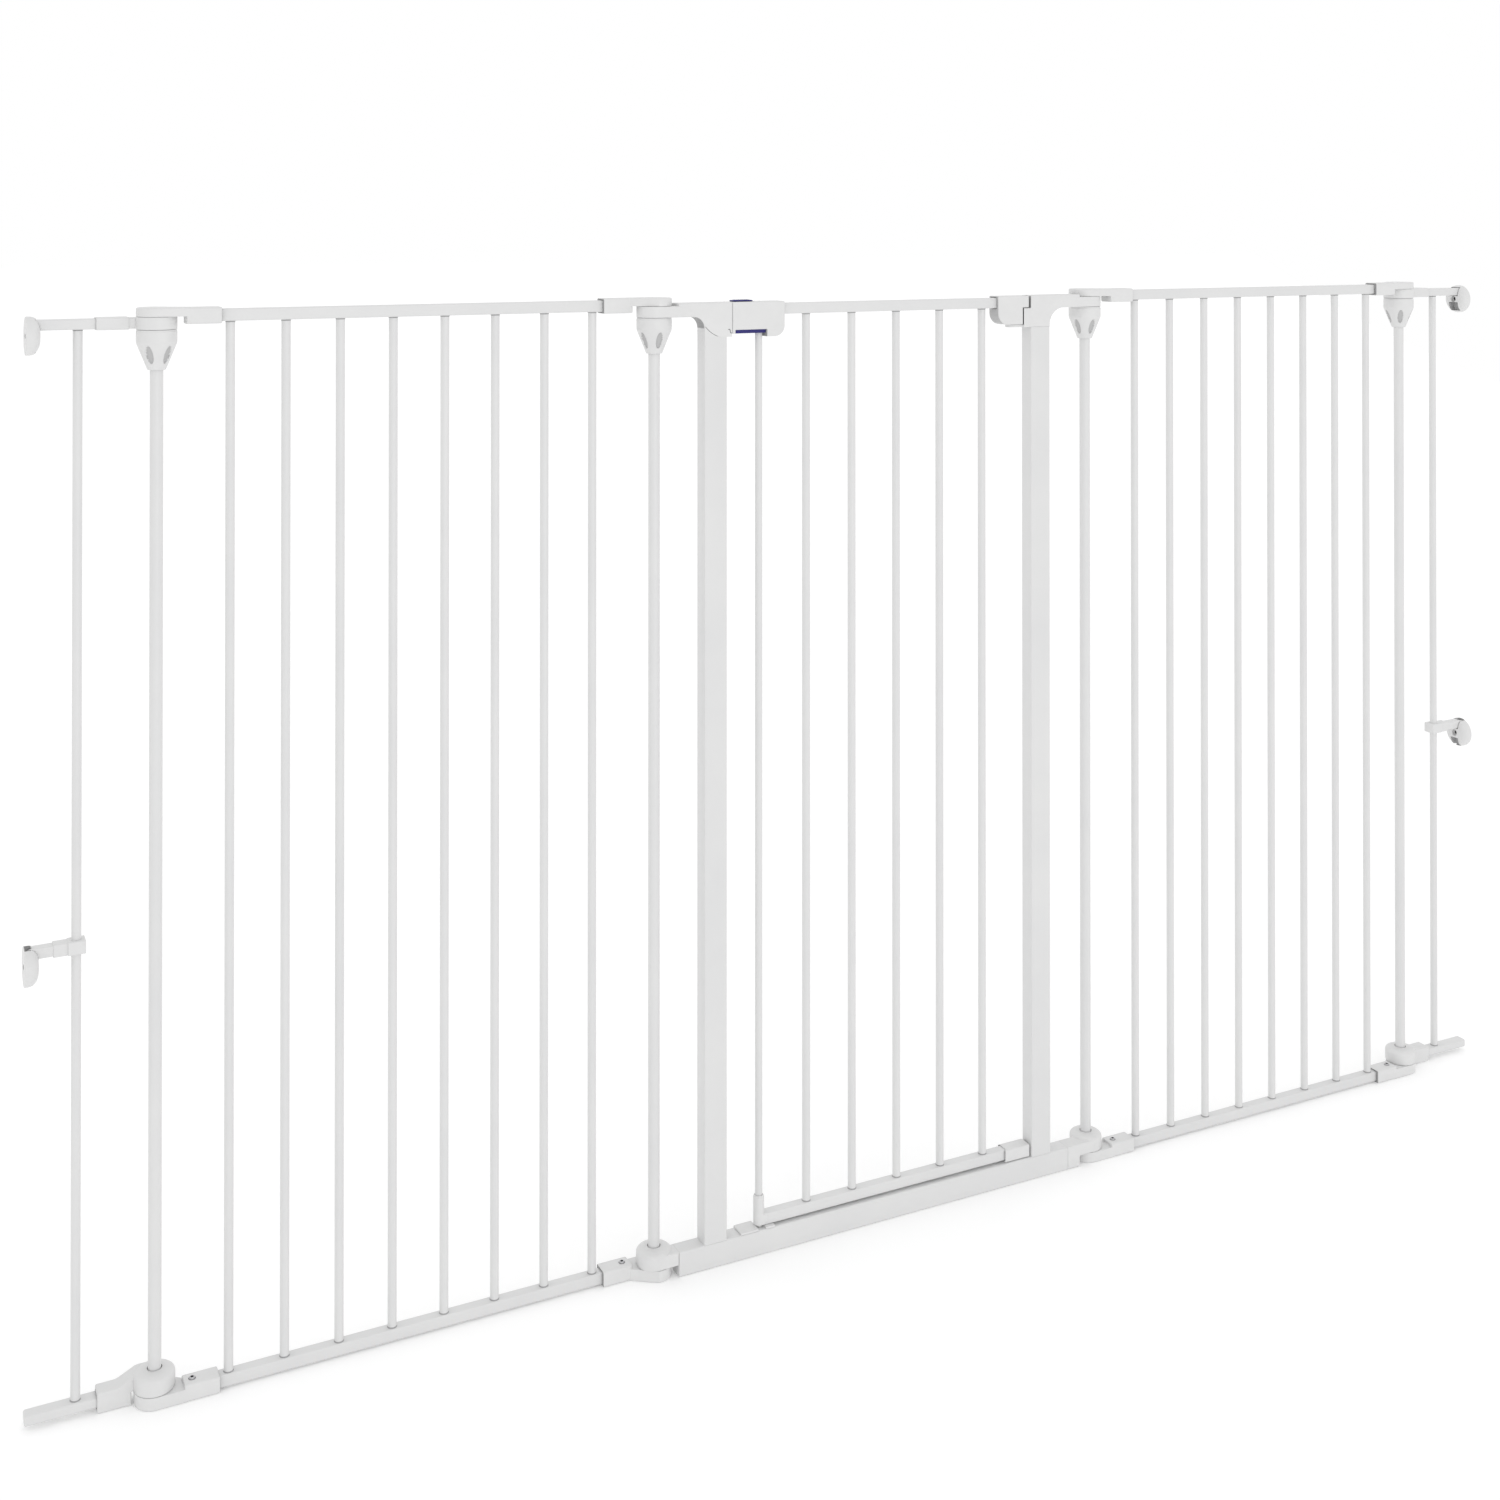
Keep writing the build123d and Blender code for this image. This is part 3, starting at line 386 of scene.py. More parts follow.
def round_bar(x, y, low, high, radius, flare=bar_flare, count=28):
    """A round bar that flares into its welds: radius + flare e^(-d / reach), d from the nearer end."""
    near = np.linspace(0, 4 * bar_flare_reach, 7)
    height = np.concatenate([low + near, (high - near)[::-1]])
    distance = np.minimum(height - low, high - height)
    width = radius + flare * np.exp(-distance / bar_flare_reach)
    return turned(np.stack([width, height], 1), (x, y, 0), count=count, closed=False)


def bars(node, places, radius):
    """The upright bars of one node, welded between two rails."""
    low, high = span(node)
    y = (low[1] + high[1]) / 2
    piece = skin(node.replace("_bars", "_round_bars").replace("_bar", "_round_bar"),
                 [round_bar(x, y, low[2] - seat, high[2] + seat, radius) for x in places])
    piece.data.materials.append(steel_white)
    # faces near either end of a bar get the darker coat: painted shade where the bar meets its rail
    faces_where(piece, lambda at, _: np.minimum(at[2] - low[2], high[2] - at[2]) < painted_shade_height, steel_painted_shade)
    return dressed(piece, node, slot="coated_steel")


def bar_places(node, count):
    """Middles of evenly spaced bars whose outer faces fill the node's box, and their radius."""
    low, high = span(node)
    radius = (high[1] - low[1]) / 2
    return np.linspace(low[0] + radius, high[0] - radius, count), radius


for node, count in (("panel_1_bars", 8), ("panel_2_bars", 8), ("door_bars", 5),
                    ("left_end_bar", 1), ("right_end_bar", 1)):
    places, radius = bar_places(node, count)
    bars(node, places if count > 1 else [middle(node)[0]], radius)

for number, post in enumerate(posts, 1):
    low, high = span(f"hinge_post_{number}")
    piece = skin(f"round_post_{number}", [round_bar(post[0], post[1], low[2], high[2], post_r, 0, 40)])
    piece.data.materials.append(steel_white)
    dressed(piece, f"hinge_post_{number}", slot="coated_steel")


def square_tube(node, edge=steel_edge, end_edge=0.3 * MM, reach=0.0):
    """A rail: its rounded section carried along X, from end to end of the node's box."""
    low, high = span(node)
    section = rectangle(low[1:], high[1:], edge)
    piece = skin(f"{node}_tube", [slab(section, low[0] - reach, high[0] + reach, end_edge, "yz")])
    piece.data.materials.append(steel_white)
    return dressed(piece, node, slot="coated_steel")


for node in ("panel_1_top_rail", "panel_1_bottom_rail", "panel_2_top_rail", "panel_2_bottom_rail",
             "door_top_rail", "door_bottom_rail", "left_end_top_rail", "right_end_top_rail"):
    square_tube(node)
for node in ("left_end_bottom_rail", "right_end_bottom_rail"):
    square_tube(node, edge=2.2 * MM, end_edge=2 * MM)
square_tube("frame_rail", edge=1.8 * MM)
for node in ("frame_post_left", "frame_post_right"):
    low, high = span(node)
    piece = skin(f"{node}_tube", [slab(rectangle(low[:2], high[:2], 1.8 * MM), low[2] - seat,
                                       high[2] + seat, 0.2 * MM)])
    piece.data.materials.append(steel_white)
    dressed(piece, node, slot="coated_steel")


# ---------------------------------------------------------------- hinge mouldings
half_sleeve = 10 * MM
arm_low = ring_high + running_gap
pocket_play = 0.25 * MM         # round a rail inside its moulding
mouth_depth = 1.2 * MM          # wider mouth of the pocket
sleeve_radius = 2 * MM
pocket_depth = 20 * MM
past = 1 * MM                   # how far tools reach past the faces that they cut


def disc(x, y, radius, low, high, edge=soft_edge, steps=19):
    """A round plate: a square outline whose corner arcs meet."""
    return slab(outline([(x - radius, y - radius), (x + radius, y - radius), (x + radius, y + radius),
                         (x - radius, y + radius)], radius * 0.9999, steps), low, high, edge)


def bore(x, y, low, high, radius=bore_r):
    """Tool for a round upright hole."""
    return turned([(radius, low), (radius, high)], (x, y, 0), count=48, closed=False)


def box_tool(low, high, radius=0.4 * MM):
    """Tool with straight edges along X, for a pocket or a slot."""
    return slab(rectangle(low[1:], high[1:], radius), low[0], high[0], 0.02 * MM, "yz")


def arm_outline(post, side, plane):
    """Knuckle round the post with an arm to the sleeve, seen from above.

    One face of the arm is tangent to the knuckle and the other runs in from its far side.
    """
    x, y = post[:2]
    sign = -1 if plane < y else 1
    start = x + side * (sleeve_start + 3 * MM)
    tip = x - side * knuckle_r
    web = y - sign * knuckle_r
    tangent_face = plane + sign * half_sleeve
    inner_face = plane - sign * half_sleeve
    corners = [(start, tangent_face), (tip, tangent_face), (tip, web), (x + side * 1.5 * MM, web),
               (start, inner_face)]
    return outline(corners, [0.3 * MM, knuckle_r * 0.999, knuckle_r * 0.999, 4 * MM, 0.3 * MM], 14)


def rail_pocket(rail, sleeve_end, side, depth, mouth=(0.8 * MM, 0.5 * MM)):
    """Tools for the pocket round a rail and for its wider mouth at the sleeve's end."""
    low, high = span(rail)
    tools = []
    for reach, wider, radius in ((depth, (pocket_play, pocket_play), 1.2 * MM),
                                 (mouth_depth, mouth, 1.6 * MM)):
        inner, outer = sorted((sleeve_end - side * reach, sleeve_end + side * past))
        tools.append(box_tool((inner, low[1] - wider[0], low[2] - wider[1]),
                              (outer, high[1] + wider[0], high[2] + wider[1]), radius))
    return tools


def shade_end(piece, end, side):
    """Paints shade on the end face of a sleeve, where its rail goes in."""
    faces_where(piece, lambda at, normal: (abs(at[0] - end) < 0.3 * MM) & (side * normal[0] > 0.8),
                plastic_painted_side_shade)


def sleeve(node, side, start, plane):
    """Rail sleeve from its start to the far end of the node's box, and the X of that end."""
    low, high = span(node)
    end = high[0] if side > 0 else low[0]
    first, last = sorted((start, end))
    section = rectangle((plane - half_sleeve, low[2]), (plane + half_sleeve, high[2]), sleeve_radius)
    return slab(section, first, last, soft_edge, "yz"), end


head_proud = 1.9 * MM           # screw heads above their sleeves
head_rim = 1.1 * MM
screw_low, screw_high = span("panel_1_clamp_screws")
screw_r = (screw_high[1] - screw_low[1]) / 2


def panel_mouldings(panel, end, post, side):
    """Top and bottom hinge mouldings at one end of a barred panel."""
    plane = middle(f"{panel}_bars")[1]
    shape = arm_outline(post, side, plane)
    start = post[0] + side * sleeve_start
    node = f"{panel}_top_arm_{end}"
    top = span(node)[1][2]
    block, block_end = sleeve(node, side, start, plane)
    piece = moulding(f"{panel}_top_hinge_arm_{end}", plastic_white,
                     [block, slab(shape, arm_low, top, 1.4 * MM, low_edge=0.3 * MM)],
                     rail_pocket(f"{panel}_top_rail", block_end, side, pocket_depth), plastic_shade)
    shade_end(piece, block_end, side)
    dressed(piece, node)
    node = f"{panel}_bottom_arm_{end}"
    top = span(node)[1][2]
    block, block_end = sleeve(node, side, start, plane)
    screws_low, screws_high = span(f"{panel}_clamp_screws")
    screw_x = screws_low[0] + screw_r if side > 0 else screws_high[0] - screw_r
    piece = moulding(f"{panel}_bottom_hinge_arm_{end}", plastic_white,
                     [block, slab(shape, 0, knuckle_height, 0.4 * MM, low_edge=0.9 * MM)],
                     rail_pocket(f"{panel}_bottom_rail", block_end, side, pocket_depth)
                     + [bore(screw_x, plane, top - 2 * MM, top + past, screw_r + 0.35 * MM)],
                     plastic_shade)
    shade_end(piece, block_end, side)
    return dressed(piece, node)


def socket_screws(panel):
    """Screws with hexagon sockets: a head that stands proud of its sleeve, with a rounded rim.

    The rim's radius falls as a - b + b cos t while its height rises as top - b + b sin t.
    """
    low, high = span(f"{panel}_clamp_screws")
    y = (low[1] + high[1]) / 2
    head_low, top = high[2] - 2.2 * MM, high[2] + head_proud
    turn = np.linspace(0, math.pi / 2, 6)
    rim = np.stack([screw_r - head_rim * (1 - np.cos(turn)), top - head_rim * (1 - np.sin(turn))], 1)
    section = [(screw_r - 0.2 * MM, head_low), (screw_r, head_low + 0.2 * MM)] + rim.tolist()
    places = (low[0] + screw_r, high[0] - screw_r)
    turn = np.arange(6) * math.pi / 3
    key = 1.7 * MM
    heads = [turned(section, (x, y, 0), count=36, closed=False) for x in places]
    keys = [slab(outline(np.stack([x + key * np.cos(turn), y + key * np.sin(turn)], 1), 0.1 * MM),
                 top - 1.4 * MM, top + 1 * MM, 0.02 * MM) for x in places]
    # the hexagon sockets get the near-black finish: painted shade inside them
    piece = moulding(f"{panel}_socket_screws", steel_bare, heads, keys, hole_shade)
    return dressed(piece, f"{panel}_clamp_screws", slot="bare_steel")


for panel, first in (("panel_1", 0), ("panel_2", 2)):
    panel_mouldings(panel, "left", posts[first], 1)
    panel_mouldings(panel, "right", posts[first + 1], -1)
    socket_screws(panel)


# ---------------------------------------------------------------- lock collars
neck_drop = 1.6 * MM            # shadow groove under the ring
neck_inset = 0.4 * MM
collar_straight = 12.5 * MM
collar_tip_r = 8.5 * MM
grip_half_length = 10 * MM
grip_half_width = 3.8 * MM
grip_depth = 1.6 * MM
grip_rise = 1.8 * MM            # middle of a grip above the middle of the taper
grip_wall = 0.14                # share of the grip's half size taken by its wall
grip_pitch = math.radians(72)


def lock_collar(number, post, first_grip):
    """Tulip collar: a turned section with five oval grips pressed into its taper.

    A point at the distance q from a grip's middle, measured so that the oval's rim is q = 1, moves
    in by depth * s(clip((1 - q) / wall, 0, 1)), with s(t) = 3 t^2 - 2 t^3.
    """
    low, high = span(f"lock_collar_{number}")
    bottom, top = low[2], high[2]
    waist = top - collar_straight
    corners = [(bore_r, bottom), (collar_tip_r, bottom), (knuckle_r, waist), (knuckle_r, top - neck_drop),
               (knuckle_r - neck_inset, top - neck_drop), (knuckle_r - neck_inset, top), (bore_r, top)]
    loop = drawn(outline(corners, np.array([0.1, 0.7, 9, 0.35, 0.2, 0.2, 0.1]) * MM, 9))
    closed = np.vstack([loop, loop[:1]])
    length = np.concatenate([[0], np.cumsum(np.linalg.norm(np.diff(closed, axis=0), axis=1))])
    steps = np.linspace(0, length[-1], 190, endpoint=False)
    section = np.stack([np.interp(steps, length, closed[:, k]) for k in (0, 1)], 1)
    vertices, faces, caps = turned(section, (0, 0, 0), count=176)
    x, y, z = vertices.T
    radius, angle = np.hypot(x, y), np.arctan2(y, x)
    from_grip = (angle - first_grip + grip_pitch / 2) % grip_pitch - grip_pitch / 2
    slant = (knuckle_r - collar_tip_r) / (waist - bottom)
    along = ((z - (waist + bottom) / 2) * math.hypot(1, slant) - grip_rise) / grip_half_length
    q = np.hypot(along, from_grip * radius / grip_half_width)
    t = np.clip((1 - q) / grip_wall, 0, 1)
    on_outside = radius > bore_r + 1 * MM
    pressed = radius - grip_depth * t * t * (3 - 2 * t) * on_outside
    vertices = np.stack([pressed * np.cos(angle), pressed * np.sin(angle), z], 1) + (post[0], post[1], 0)
    piece = skin(f"tulip_collar_{number}", [(vertices, faces, caps)])
    piece.data.materials.append(plastic_white)

    def in_grip(at, _):
        """Faces that lie well inside the taper's own surface, on its outside."""
        radius = np.hypot(at[0] - post[0], at[1] - post[1])
        taper = collar_tip_r + (at[2] - bottom) * slant
        return (at[2] < waist - 0.5 * MM) & (radius > bore_r + 0.6 * MM) & (radius < taper - 0.8 * MM)

    # the faces pressed into the grips get a darker finish: painted shade in the dishes
    faces_where(piece, in_grip, plastic_painted_soft_shade)
    return dressed(piece, f"lock_collar_{number}", crease=50)


for number, (post, facing) in enumerate(zip(posts, (1, -1, -1, 1)), 1):
    lock_collar(number, post, facing * math.pi / 2)


# ---------------------------------------------------------------- end sections and frame feet
upper_low = knuckle_height + running_gap
upper_rim = 24.7 * MM
end_half = 9 * MM               # half depth of the end mouldings
neck_half = 8 * MM
frame_half = 10 * MM            # half depth of the frame's and the door's mouldings
block_start = 21 * MM           # block at the foot of an end section, from the hinge axis
block_top = 19 * MM
crest_rise = 3 * MM             # sloping arm of an end section, above the knuckle's rim
crest_end = 15 * MM
slope_end = 33 * MM


def domed_knuckle(x, y, low, rim, top):
    """Knuckle with a domed top: radius b + (a - b) cos(t)^0.8, height rim + (top - rim) sin(t)^0.9."""
    turn = np.linspace(0, math.pi / 2, 12)
    neck = post_r + 0.9 * MM
    dome = np.stack([neck + (knuckle_r - neck) * np.cos(turn) ** 0.8,
                     rim + (top - 0.6 * MM - rim) * np.sin(turn) ** 0.9], 1)
    low_edge = [(pole_r, low), (knuckle_r - 0.9 * MM, low), (knuckle_r - 0.25 * MM, low + 0.3 * MM),
                (knuckle_r, low + 0.9 * MM)]
    rim_to_pole = [(neck - 0.1 * MM, top), (pole_r, top)]
    return turned(low_edge + dome.tolist() + rim_to_pole, (x, y, 0), count=80, closed=False)


def post_groove(x, y, top):
    """Tool for the shadow groove round a post, in the top of its knuckle."""
    return bore(x, y, top - 1.5 * MM, top + past, post_r + 0.75 * MM)


def end_mouldings(name, post, side):
    """Ring, neck and sleeve at the top of an end section; domed knuckle, arm and block at the bottom."""
    x, y = post[:2]
    plane = middle(f"{name}_top_rail")[1]
    low, high = span(f"{name}_top_arm")
    end = high[0] if side > 0 else low[0]
    start = x + side * sleeve_start
    first, last = sorted((start, end))
    block = slab(rectangle((plane - end_half, low[2]), (plane + end_half, high[2]), 1.6 * MM), first, last,
                 1 * MM, "yz")
    first, last = sorted((x, start + side * 2 * MM))
    neck = slab(rectangle((plane - neck_half, low[2] + 0.8 * MM), (plane + neck_half, high[2] - 0.8 * MM),
                          1.2 * MM), first, last, 0.2 * MM, "yz")
    piece = moulding(f"{name}_ring_and_sleeve", plastic_white,
                     [disc(x, y, knuckle_r, low[2], high[2], 0.35 * MM), neck, block],
                     rail_pocket(f"{name}_top_rail", end, side, 20 * MM, (1 * MM, 0.4 * MM))
                     + [bore(x, y, low[2] - past, high[2] + past)], plastic_shade)
    dressed(piece, f"{name}_top_arm")
    low, high = span(f"{name}_bottom_arm")
    end = high[0] if side > 0 else low[0]
    crest = upper_rim + crest_rise
    start = x + side * block_start
    corners = [(x, upper_low), (x, crest), (x + side * crest_end, crest), (x + side * slope_end, block_top),
               (end, block_top), (end, 0), (start, 0), (start, upper_low)]
    arm = slab(outline(corners, np.array([0.1, 0.1, 9, 16, 1.6, 1.2, 1.6, 1]) * MM, 9),
               plane - end_half, plane + end_half, 1.4 * MM, "xz")
    piece = moulding(f"{name}_domed_knuckle_and_block", plastic_white,
                     [domed_knuckle(x, y, upper_low, upper_rim, high[2]), arm],
                     rail_pocket(f"{name}_bottom_rail", end, side, 20 * MM, (1 * MM, 1.4 * MM))
                     + [bore(x, y, upper_low - past, high[2] + past), post_groove(x, y, high[2])],
                     plastic_shade)
    return dressed(piece, f"{name}_bottom_arm")


end_mouldings("left_end", posts[0], -1)
end_mouldings("right_end", posts[3], 1)


def frame_foot(end, post, side):
    """Foot of the door frame: domed knuckle and an arm as high as the frame's rail."""
    node = f"frame_foot_{end}"
    top = span(node)[1][2]
    x, y = post[:2]
    rail_low, rail_high = span("frame_rail")
    seam = rail_low[0] if side > 0 else rail_high[0]
    notch = x + side * 21.5 * MM
    corners = [(x, upper_low), (x, rail_high[2]), (seam, rail_high[2])]
    radii = [0.1, 0.1, 0.4]
    if abs(seam - notch) < 1 * MM:
        corners += [(seam, upper_low)]
        radii += [0.4]
    else:
        corners += [(seam, 0), (notch, 0), (notch, upper_low)]
        radii += [0.4, 1.2, 1.5]
    arm = slab(outline(corners, np.array(radii) * MM), -frame_half, frame_half, 1.8 * MM, "xz")
    piece = moulding(f"{node}_moulding", plastic_white,
                     [domed_knuckle(x, y, upper_low, upper_rim, top), arm],
                     [bore(x, y, upper_low - past, top + past), post_groove(x, y, top)],
                     plastic_shade)
    return dressed(piece, node)


frame_foot("left", posts[1], 1)
frame_foot("right", posts[2], -1)


# ---------------------------------------------------------------- housings of the door frame
housing_top = span("frame_post_left")[1][2] + 37.3 * MM
catch_gusset = 12.5 * MM
hinge_gusset = 20 * MM


ring_clearance = 1.5 * MM       # from a ring's edge to its housing
seam_radius = 34.3 * MM


def engraved(path, radius=0.3 * MM):
    """Tool for a fine groove along a path."""
    return piped(path, radius, 8)


def arc(centre, radius, start, end, plane_y, count=24):
    """Points of a circular arc on a front face, angles in degrees from +X towards +Z."""
    angle = np.radians(np.linspace(start, end, count))
    return np.stack([centre[0] + radius * np.cos(angle), np.full(count, plane_y),
                     centre[1] + radius * np.sin(angle)], 1)


def ring_shells(post, side):
    """Ring round the hinge post and the arm that joins it to its housing."""
    x, y = post[:2]
    first, last = sorted((x, x + side * 23 * MM))
    return [disc(x, y, knuckle_r, ring_low, ring_high, 0.35 * MM),
            slab(rectangle((-frame_half, ring_low), (frame_half, ring_high), 0.9 * MM), first, last,
                 0.2 * MM, "yz")]


def catch_housing():
    """Housing on the left frame post: ring, gusset, and the curved front seam over the post."""
    high = span("catch_housing")[1]
    post_low, post_high = span("frame_post_left")
    bottom = post_high[2]
    left = posts[1][0] + knuckle_r + ring_clearance
    spare = 3 * MM              # cut off flat again below
    corners = [(left, ring_low), (left, high[2]), (high[0] + spare, high[2]),
               (high[0] + spare, bottom - spare), (post_low[0], bottom - spare), (post_low[0], ring_low)]
    body = slab(outline(corners, np.array([0.3, 1.2, 0.3, 0.3, 0.3, catch_gusset / MM]) * MM, 13),
                -frame_half, frame_half, 1.4 * MM, "xz")
    reach = 2 * frame_half
    flat = [box_tool((high[0], -reach, bottom - 3 * spare), (high[0] + 3 * spare, reach, high[2] + past)),
            box_tool((post_low[0] - past, -reach, bottom - 3 * spare), (high[0] + 3 * spare, reach, bottom))]
    seam_centre = (post_high[0] + 0.75 * MM, bottom + 33 * MM)
    seam = engraved(arc(seam_centre, seam_radius, 211, 257, -frame_half))
    tooth = [(high[0] - 4.6 * MM, bottom + 8 * MM), (high[0] - 2.6 * MM, bottom + 8 * MM),
             (high[0] - 1.8 * MM, bottom + 4.2 * MM), (high[0] + 0.3 * MM, bottom + 4 * MM)]
    tooth = np.array([(a, -frame_half, b) for a, b in tooth])
    x, y = posts[1][:2]
    piece = moulding("catch_housing_moulding", plastic_white, [body] + ring_shells(posts[1], 1),
                     flat + [bore(x, y, ring_low - past, ring_high + past), seam,
                             engraved(tooth, 0.5 * MM)], plastic_white)
    # the engraved seam and tooth line get the dark finish: painted shade in the grooves
    faces_where(piece, lambda at, _: (at[0] < high[0] - 0.1 * MM) & (at[1] < 0)
                & (at[1] > -frame_half + 0.1 * MM) & (at[2] < ring_low) & (at[0] > post_low[0] + 1 * MM)
                & (at[2] > bottom + 1 * MM), plastic_shade)
    # the gusset's faces turned to -X get a darker finish: painted shade on the side away from the lamp
    faces_where(piece, lambda at, normal: (at[0] < post_low[0] + 0.2 * MM) & (normal[0] < -0.2)
                & (at[0] > post_low[0] - catch_gusset) & (abs(normal[1]) < 0.5)
                & (at[2] > ring_low - catch_gusset - 0.5 * MM), plastic_painted_side_shade)
    return dressed(piece, "catch_housing")


def hinge_housing():
    """Housing on the right frame post: ring, gusset, stepped face, and the lip under the door."""
    high = span("hinge_housing")[1]
    post_low, post_high = span("frame_post_right")
    bottom = post_high[2]
    right = posts[2][0] - knuckle_r - ring_clearance
    pin = middle("hinge_pins")
    step_x = pin[0] + frame_half + 0.5 * MM
    door_face = span("door_hinge_housing")[1][0]
    upper_x = door_face + 2.5 * MM
    step_z = high[2] - 14.8 * MM
    corners = [(right, ring_low), (right, high[2]), (upper_x, high[2]), (upper_x, step_z),
               (step_x, step_z), (step_x, bottom), (post_high[0], bottom), (post_high[0], ring_low)]
    body = slab(outline(corners, np.array([0.3, 1.2, 1, 0.3, 0.3, 0.6, 0.4, hinge_gusset / MM]) * MM, 13),
                -frame_half, frame_half, 1 * MM, "xz")
    lip_r = frame_half - 2.5 * MM
    door_low = span("door_hinge_housing")[0][2]
    lip_high = door_low - running_gap
    lip_low = lip_high - 3 * MM
    lip = [disc(pin[0], 0, lip_r, lip_low, lip_high, 0.3 * MM),
           slab(rectangle((-lip_r, lip_low), (lip_r, lip_high), 0.3 * MM), pin[0],
                post_low[0] + 1 * MM, 0.1 * MM, "yz")]
    x, y = posts[2][:2]
    swing = math.hypot(frame_half, frame_half) + running_gap
    upper_swing = math.hypot(door_face - pin[0], frame_half) + running_gap
    piece = moulding("hinge_housing_moulding", plastic_white, [body] + ring_shells(posts[2], -1) + lip,
                     [bore(x, y, ring_low - past, ring_high + past),
                      bore(pin[0], 0, lip_high, step_z, swing),
                      bore(pin[0], 0, step_z, high[2] + 1 * MM, upper_swing)], plastic_shade)
    # the step face looking into the gap by the door gets a darker finish: painted shade
    faces_where(piece, lambda at, normal: (abs(at[0] - upper_x) < 1.5 * MM) & (at[2] > step_z + 0.2 * MM)
                & (at[2] < high[2] - 1 * MM) & (normal[0] < -0.7), plastic_painted_side_shade)
    return dressed(piece, "hinge_housing")


catch_housing()
hinge_housing()

catch_low, catch_high = span("catch_plate")
rod_low, rod_high = span("lock_rod")
rod_x = (rod_low[0] + rod_high[0]) / 2
rod_r = (rod_high[0] - rod_low[0]) / 2
groove = rod_r + 0.5 * MM
cheeks = [slab(rectangle((first, -frame_half), (last, frame_half), 1 * MM), catch_low[2], catch_high[2],
               0.6 * MM) for first, last in ((catch_low[0], rod_x - groove), (rod_x + groove, catch_high[0]))]
piece = skin("catch_plate_cheeks", cheeks)
piece.data.materials.append(plastic_white)
dressed(piece, "catch_plate")


# ---------------------------------------------------------------- door
def door_elbow():
    """Corner of the door that guides the lock rod: a lipped tube and a block on the rail."""
    low, high = span("door_elbow")
    rail_low, rail_high = span("door_bottom_rail")
    r = 6 * MM
    lip = 1.6 * MM
    section = [(pole_r, low[2]), (r - 0.8 * MM, low[2]), (r, low[2] + 0.8 * MM),
               (r, high[2] - lip - 0.5 * MM), (r - 0.5 * MM, high[2] - lip),
               (r - 0.5 * MM, high[2] - 0.5 * MM), (r - 1 * MM, high[2]), (pole_r, high[2])]
    tube = turned(section, (rod_x, 0, 0), count=48, closed=False)
    block = slab(rectangle((-6 * MM, low[2]), (6 * MM, rail_high[2]), steel_edge), rod_x,
                 rail_low[0] + 0.1 * MM, 0.1 * MM, "yz")
    piece = moulding("door_elbow_moulding", plastic_white, [tube, block],
                     [bore(rod_x, 0, low[2] - past, high[2] + 1 * MM, rod_r + 0.3 * MM)], plastic_shade)
    return dressed(piece, "door_elbow")


def lock_rod():
    """Round rod with a bevelled tip."""
    section = [(pole_r, rod_low[2]), (rod_r - 0.8 * MM, rod_low[2]), (rod_r, rod_low[2] + 0.8 * MM),
               (rod_r, rod_high[2] - 0.1 * MM), (pole_r, rod_high[2])]
    piece = skin("lock_rod_bar", [turned(section, (rod_x, 0, 0), count=40, closed=False)])
    piece.data.materials.append(steel_white)
    return dressed(piece, "lock_rod", slot="coated_steel")


def door_hinge_sleeve():
    """Sleeve on the door's lower hinge pin."""
    low, high = span("door_hinge_sleeve")
    block = slab(rectangle((low[1], low[2]), (high[1], high[2]), 2 * MM), low[0], high[0], 1 * MM, "yz")
    pin = middle("hinge_pins")
    piece = moulding("door_hinge_sleeve_moulding", plastic_white, [block],
                     rail_pocket("door_bottom_rail", low[0], -1, 6 * MM, (1.4 * MM, 0.5 * MM))
                     + [bore(pin[0], 0, low[2] - past, low[2] + 12 * MM, 3.2 * MM)], plastic_shade)
    return dressed(piece, "door_hinge_sleeve")


def door_hinge_housing():
    """L-shaped housing on the door's upper hinge pin, with a round lower corner."""
    low, high = span("door_hinge_housing")
    pin = middle("hinge_pins")
    face = pin[0] + frame_half - 0.4 * MM
    step_z = high[2] - 13.8 * MM
    corners = [(low[0], low[2]), (low[0], high[2]), (high[0], high[2]), (high[0], step_z),
               (face, step_z), (face, low[2])]
    body = slab(outline(corners, np.array([13.5, 1.2, 1, 0.8, 0.4, 1]) * MM, 13), -frame_half, frame_half,
                1.3 * MM, "xz")
    piece = moulding("door_hinge_housing_moulding", plastic_white, [body],
                     rail_pocket("door_top_rail", low[0], -1, 12 * MM, (0.8 * MM, 0.8 * MM))
                     + [bore(pin[0], 0, low[2] - past, low[2] + 16 * MM, 3.2 * MM)], plastic_shade)
    # faces of the round corner turned to -X get a darker finish: painted shade on the side away from the lamp
    faces_where(piece, lambda at, normal: (at[0] < low[0] + 14 * MM) & (normal[0] < -0.35)
                & (abs(at[1]) < frame_half - 0.8 * MM), plastic_painted_soft_shade)
    return dressed(piece, "door_hinge_housing")


